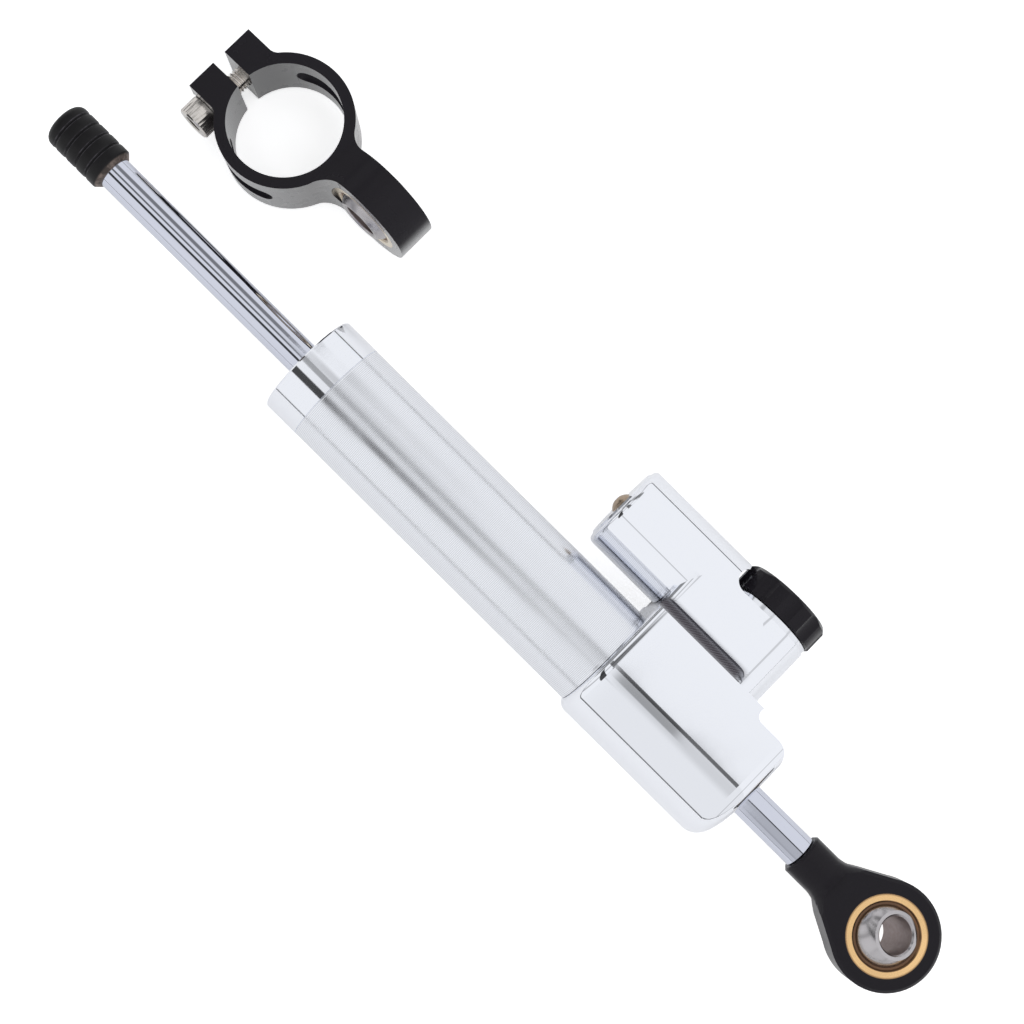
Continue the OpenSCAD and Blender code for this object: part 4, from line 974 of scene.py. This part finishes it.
class DAMPER_OT_stage(Operator):
    """Sets up the pale floor, the studio light and the photograph's camera"""
    bl_idname = "damper.stage"
    bl_label = "Stage"

    def execute(self, context):
        scene = context.scene
        self.floor(scene)
        self.studio(scene)
        self.camera(scene)
        scene.view_settings.view_transform = "Standard"
        scene.view_settings.look = "None"
        return {"FINISHED"}

    def floor(self, scene):
        """A pale floor just under the part, whose own glow the metal sees less of than the camera does"""
        shape = bmesh.new()
        bmesh.ops.create_grid(shape, x_segments=1, y_segments=1, size=FLOOR_HALF_SIZE)
        bmesh.ops.translate(shape, vec=(FLOOR_MIDDLE_X, 0, CAD_BOX[0][2] - FLOOR_GAP), verts=shape.verts)
        mesh = bpy.data.meshes.new("floor")
        shape.to_mesh(mesh)
        shape.free()
        floor = bpy.data.objects.new("floor", mesh)
        scene.collection.objects.link(floor)
        material, tree, shader, vector = start_material("pale_floor")
        colour = colours().stage
        patches = noise_node(tree, vector, 3.0)
        tree.links.new(mix_colour(tree, patches, list(colour), toned(colour, 1.03)),
                       shader.inputs["Base Color"])
        shader.inputs["Roughness"].default_value = 0.9
        shader.inputs["Specular IOR Level"].default_value = 0.1
        shader.inputs["Emission Color"].default_value = colour
        paths = tree.nodes.new("ShaderNodeLightPath")
        glow = map_range(tree, paths.outputs["Is Camera Ray"], 0.0, 1.0, FLOOR_GLOW_SEEN_IN_METAL, FLOOR_GLOW,
                         smooth=False)
        tree.links.new(glow, shader.inputs["Emission Strength"])
        mesh.materials.append(material)

    def studio(self, scene):
        """A white studio with dark bands over and beside the damper, drawn on the world"""
        world = bpy.data.worlds.new("studio")
        scene.world = world
        world.use_nodes = True
        tree = world.node_tree
        background = tree.nodes["Background"]
        coordinates = tree.nodes.new("ShaderNodeTexCoord")
        direction = split_axes(tree, coordinates.outputs["Generated"])
        # Angle from straight up towards -Y, in degrees
        angle = math_node(tree, "ARCTAN2", math_node(tree, "MULTIPLY", direction["Y"], -1.0), direction["Z"])
        degrees = math_node(tree, "MULTIPLY", angle, math.degrees(1))
        across = direction["X"]
        shade = None
        for start, stop, soft, depth, left, right, blur in STUDIO_BANDS:
            rise = map_range(tree, degrees, start - soft, start + soft, 0.0, 1.0)
            fall = map_range(tree, degrees, stop - soft, stop + soft, 1.0, 0.0)
            come = map_range(tree, across, left - blur, left + blur, 0.0, 1.0)
            leave = map_range(tree, across, right - blur, right + blur, 1.0, 0.0)
            band = math_node(tree, "MULTIPLY", math_node(tree, "MULTIPLY", rise, fall), depth)
            reach = math_node(tree, "MULTIPLY", come, leave)
            kept = math_node(tree, "SUBTRACT", 1.0, math_node(tree, "MULTIPLY", band, reach))
            shade = kept if shade is None else math_node(tree, "MULTIPLY", shade, kept)
        level = math_node(tree, "MULTIPLY", shade, STUDIO_LEVEL)
        paths = tree.nodes.new("ShaderNodeLightPath")
        plain = map_range(tree, paths.outputs["Is Camera Ray"], 0.0, 1.0, level, 1.0, smooth=False)
        tint = tree.nodes.new("ShaderNodeCombineColor")
        for index, share in enumerate(STUDIO_TINT):
            tree.links.new(math_node(tree, "MULTIPLY", plain, share), tint.inputs[index])
        tree.links.new(plain, tint.inputs[2])
        tree.links.new(tint.outputs[0], background.inputs["Color"])

    def camera(self, scene):
        """The photograph's view"""
        data = bpy.data.cameras.new("photo_view")
        data.lens = CAMERA_LENS
        data.sensor_width = CAMERA_SENSOR
        data.clip_start = 0.01
        camera = bpy.data.objects.new("photo_view", data)
        scene.collection.objects.link(camera)
        level_up = Vector((0, math.cos(CAMERA_TILT), math.sin(CAMERA_TILT)))
        back = Vector((0, -math.sin(CAMERA_TILT), math.cos(CAMERA_TILT)))
        along = Vector((1, 0, 0))
        right = math.cos(CAMERA_ROLL) * along + math.sin(CAMERA_ROLL) * level_up
        up = -math.sin(CAMERA_ROLL) * along + math.cos(CAMERA_ROLL) * level_up
        turn = Matrix((right, up, back)).transposed().to_4x4()
        camera.matrix_world = Matrix.Translation(CAMERA_PLACE) @ turn
        scene.camera = camera


OPERATORS = [DAMPER_OT_finishes, DAMPER_OT_tube, DAMPER_OT_stop, DAMPER_OT_bolt, DAMPER_OT_knob,
             DAMPER_OT_rod_end, DAMPER_OT_bracket, DAMPER_OT_stage]


class DAMPER_PT_sidebar(Panel):
    """Lists the damper's sizes, colours and operators in the sidebar"""
    bl_label = "Damper"
    bl_space_type = "VIEW_3D"
    bl_region_type = "UI"
    bl_category = "Damper"

    def draw(self, context):
        for group in (context.scene.damper_sizes, context.scene.damper_colours):
            for name in group.__annotations__:
                self.layout.prop(group, name)
        for operator in OPERATORS:
            self.layout.operator(operator.bl_idname)


CLASSES = [DamperSizes, DamperColours, *OPERATORS, DAMPER_PT_sidebar]


def register():
    for item in CLASSES:
        bpy.utils.register_class(item)
    bpy.types.Scene.damper_sizes = PointerProperty(type=DamperSizes)
    bpy.types.Scene.damper_colours = PointerProperty(type=DamperColours)


def unregister():
    del bpy.types.Scene.damper_colours
    del bpy.types.Scene.damper_sizes
    for item in reversed(CLASSES):
        bpy.utils.unregister_class(item)


def main():
    """Builds every piece in order"""
    register()
    for operator in OPERATORS:
        area, name = operator.bl_idname.split(".")
        getattr(getattr(bpy.ops, area), name)()


if __name__ == "__main__":
    main()
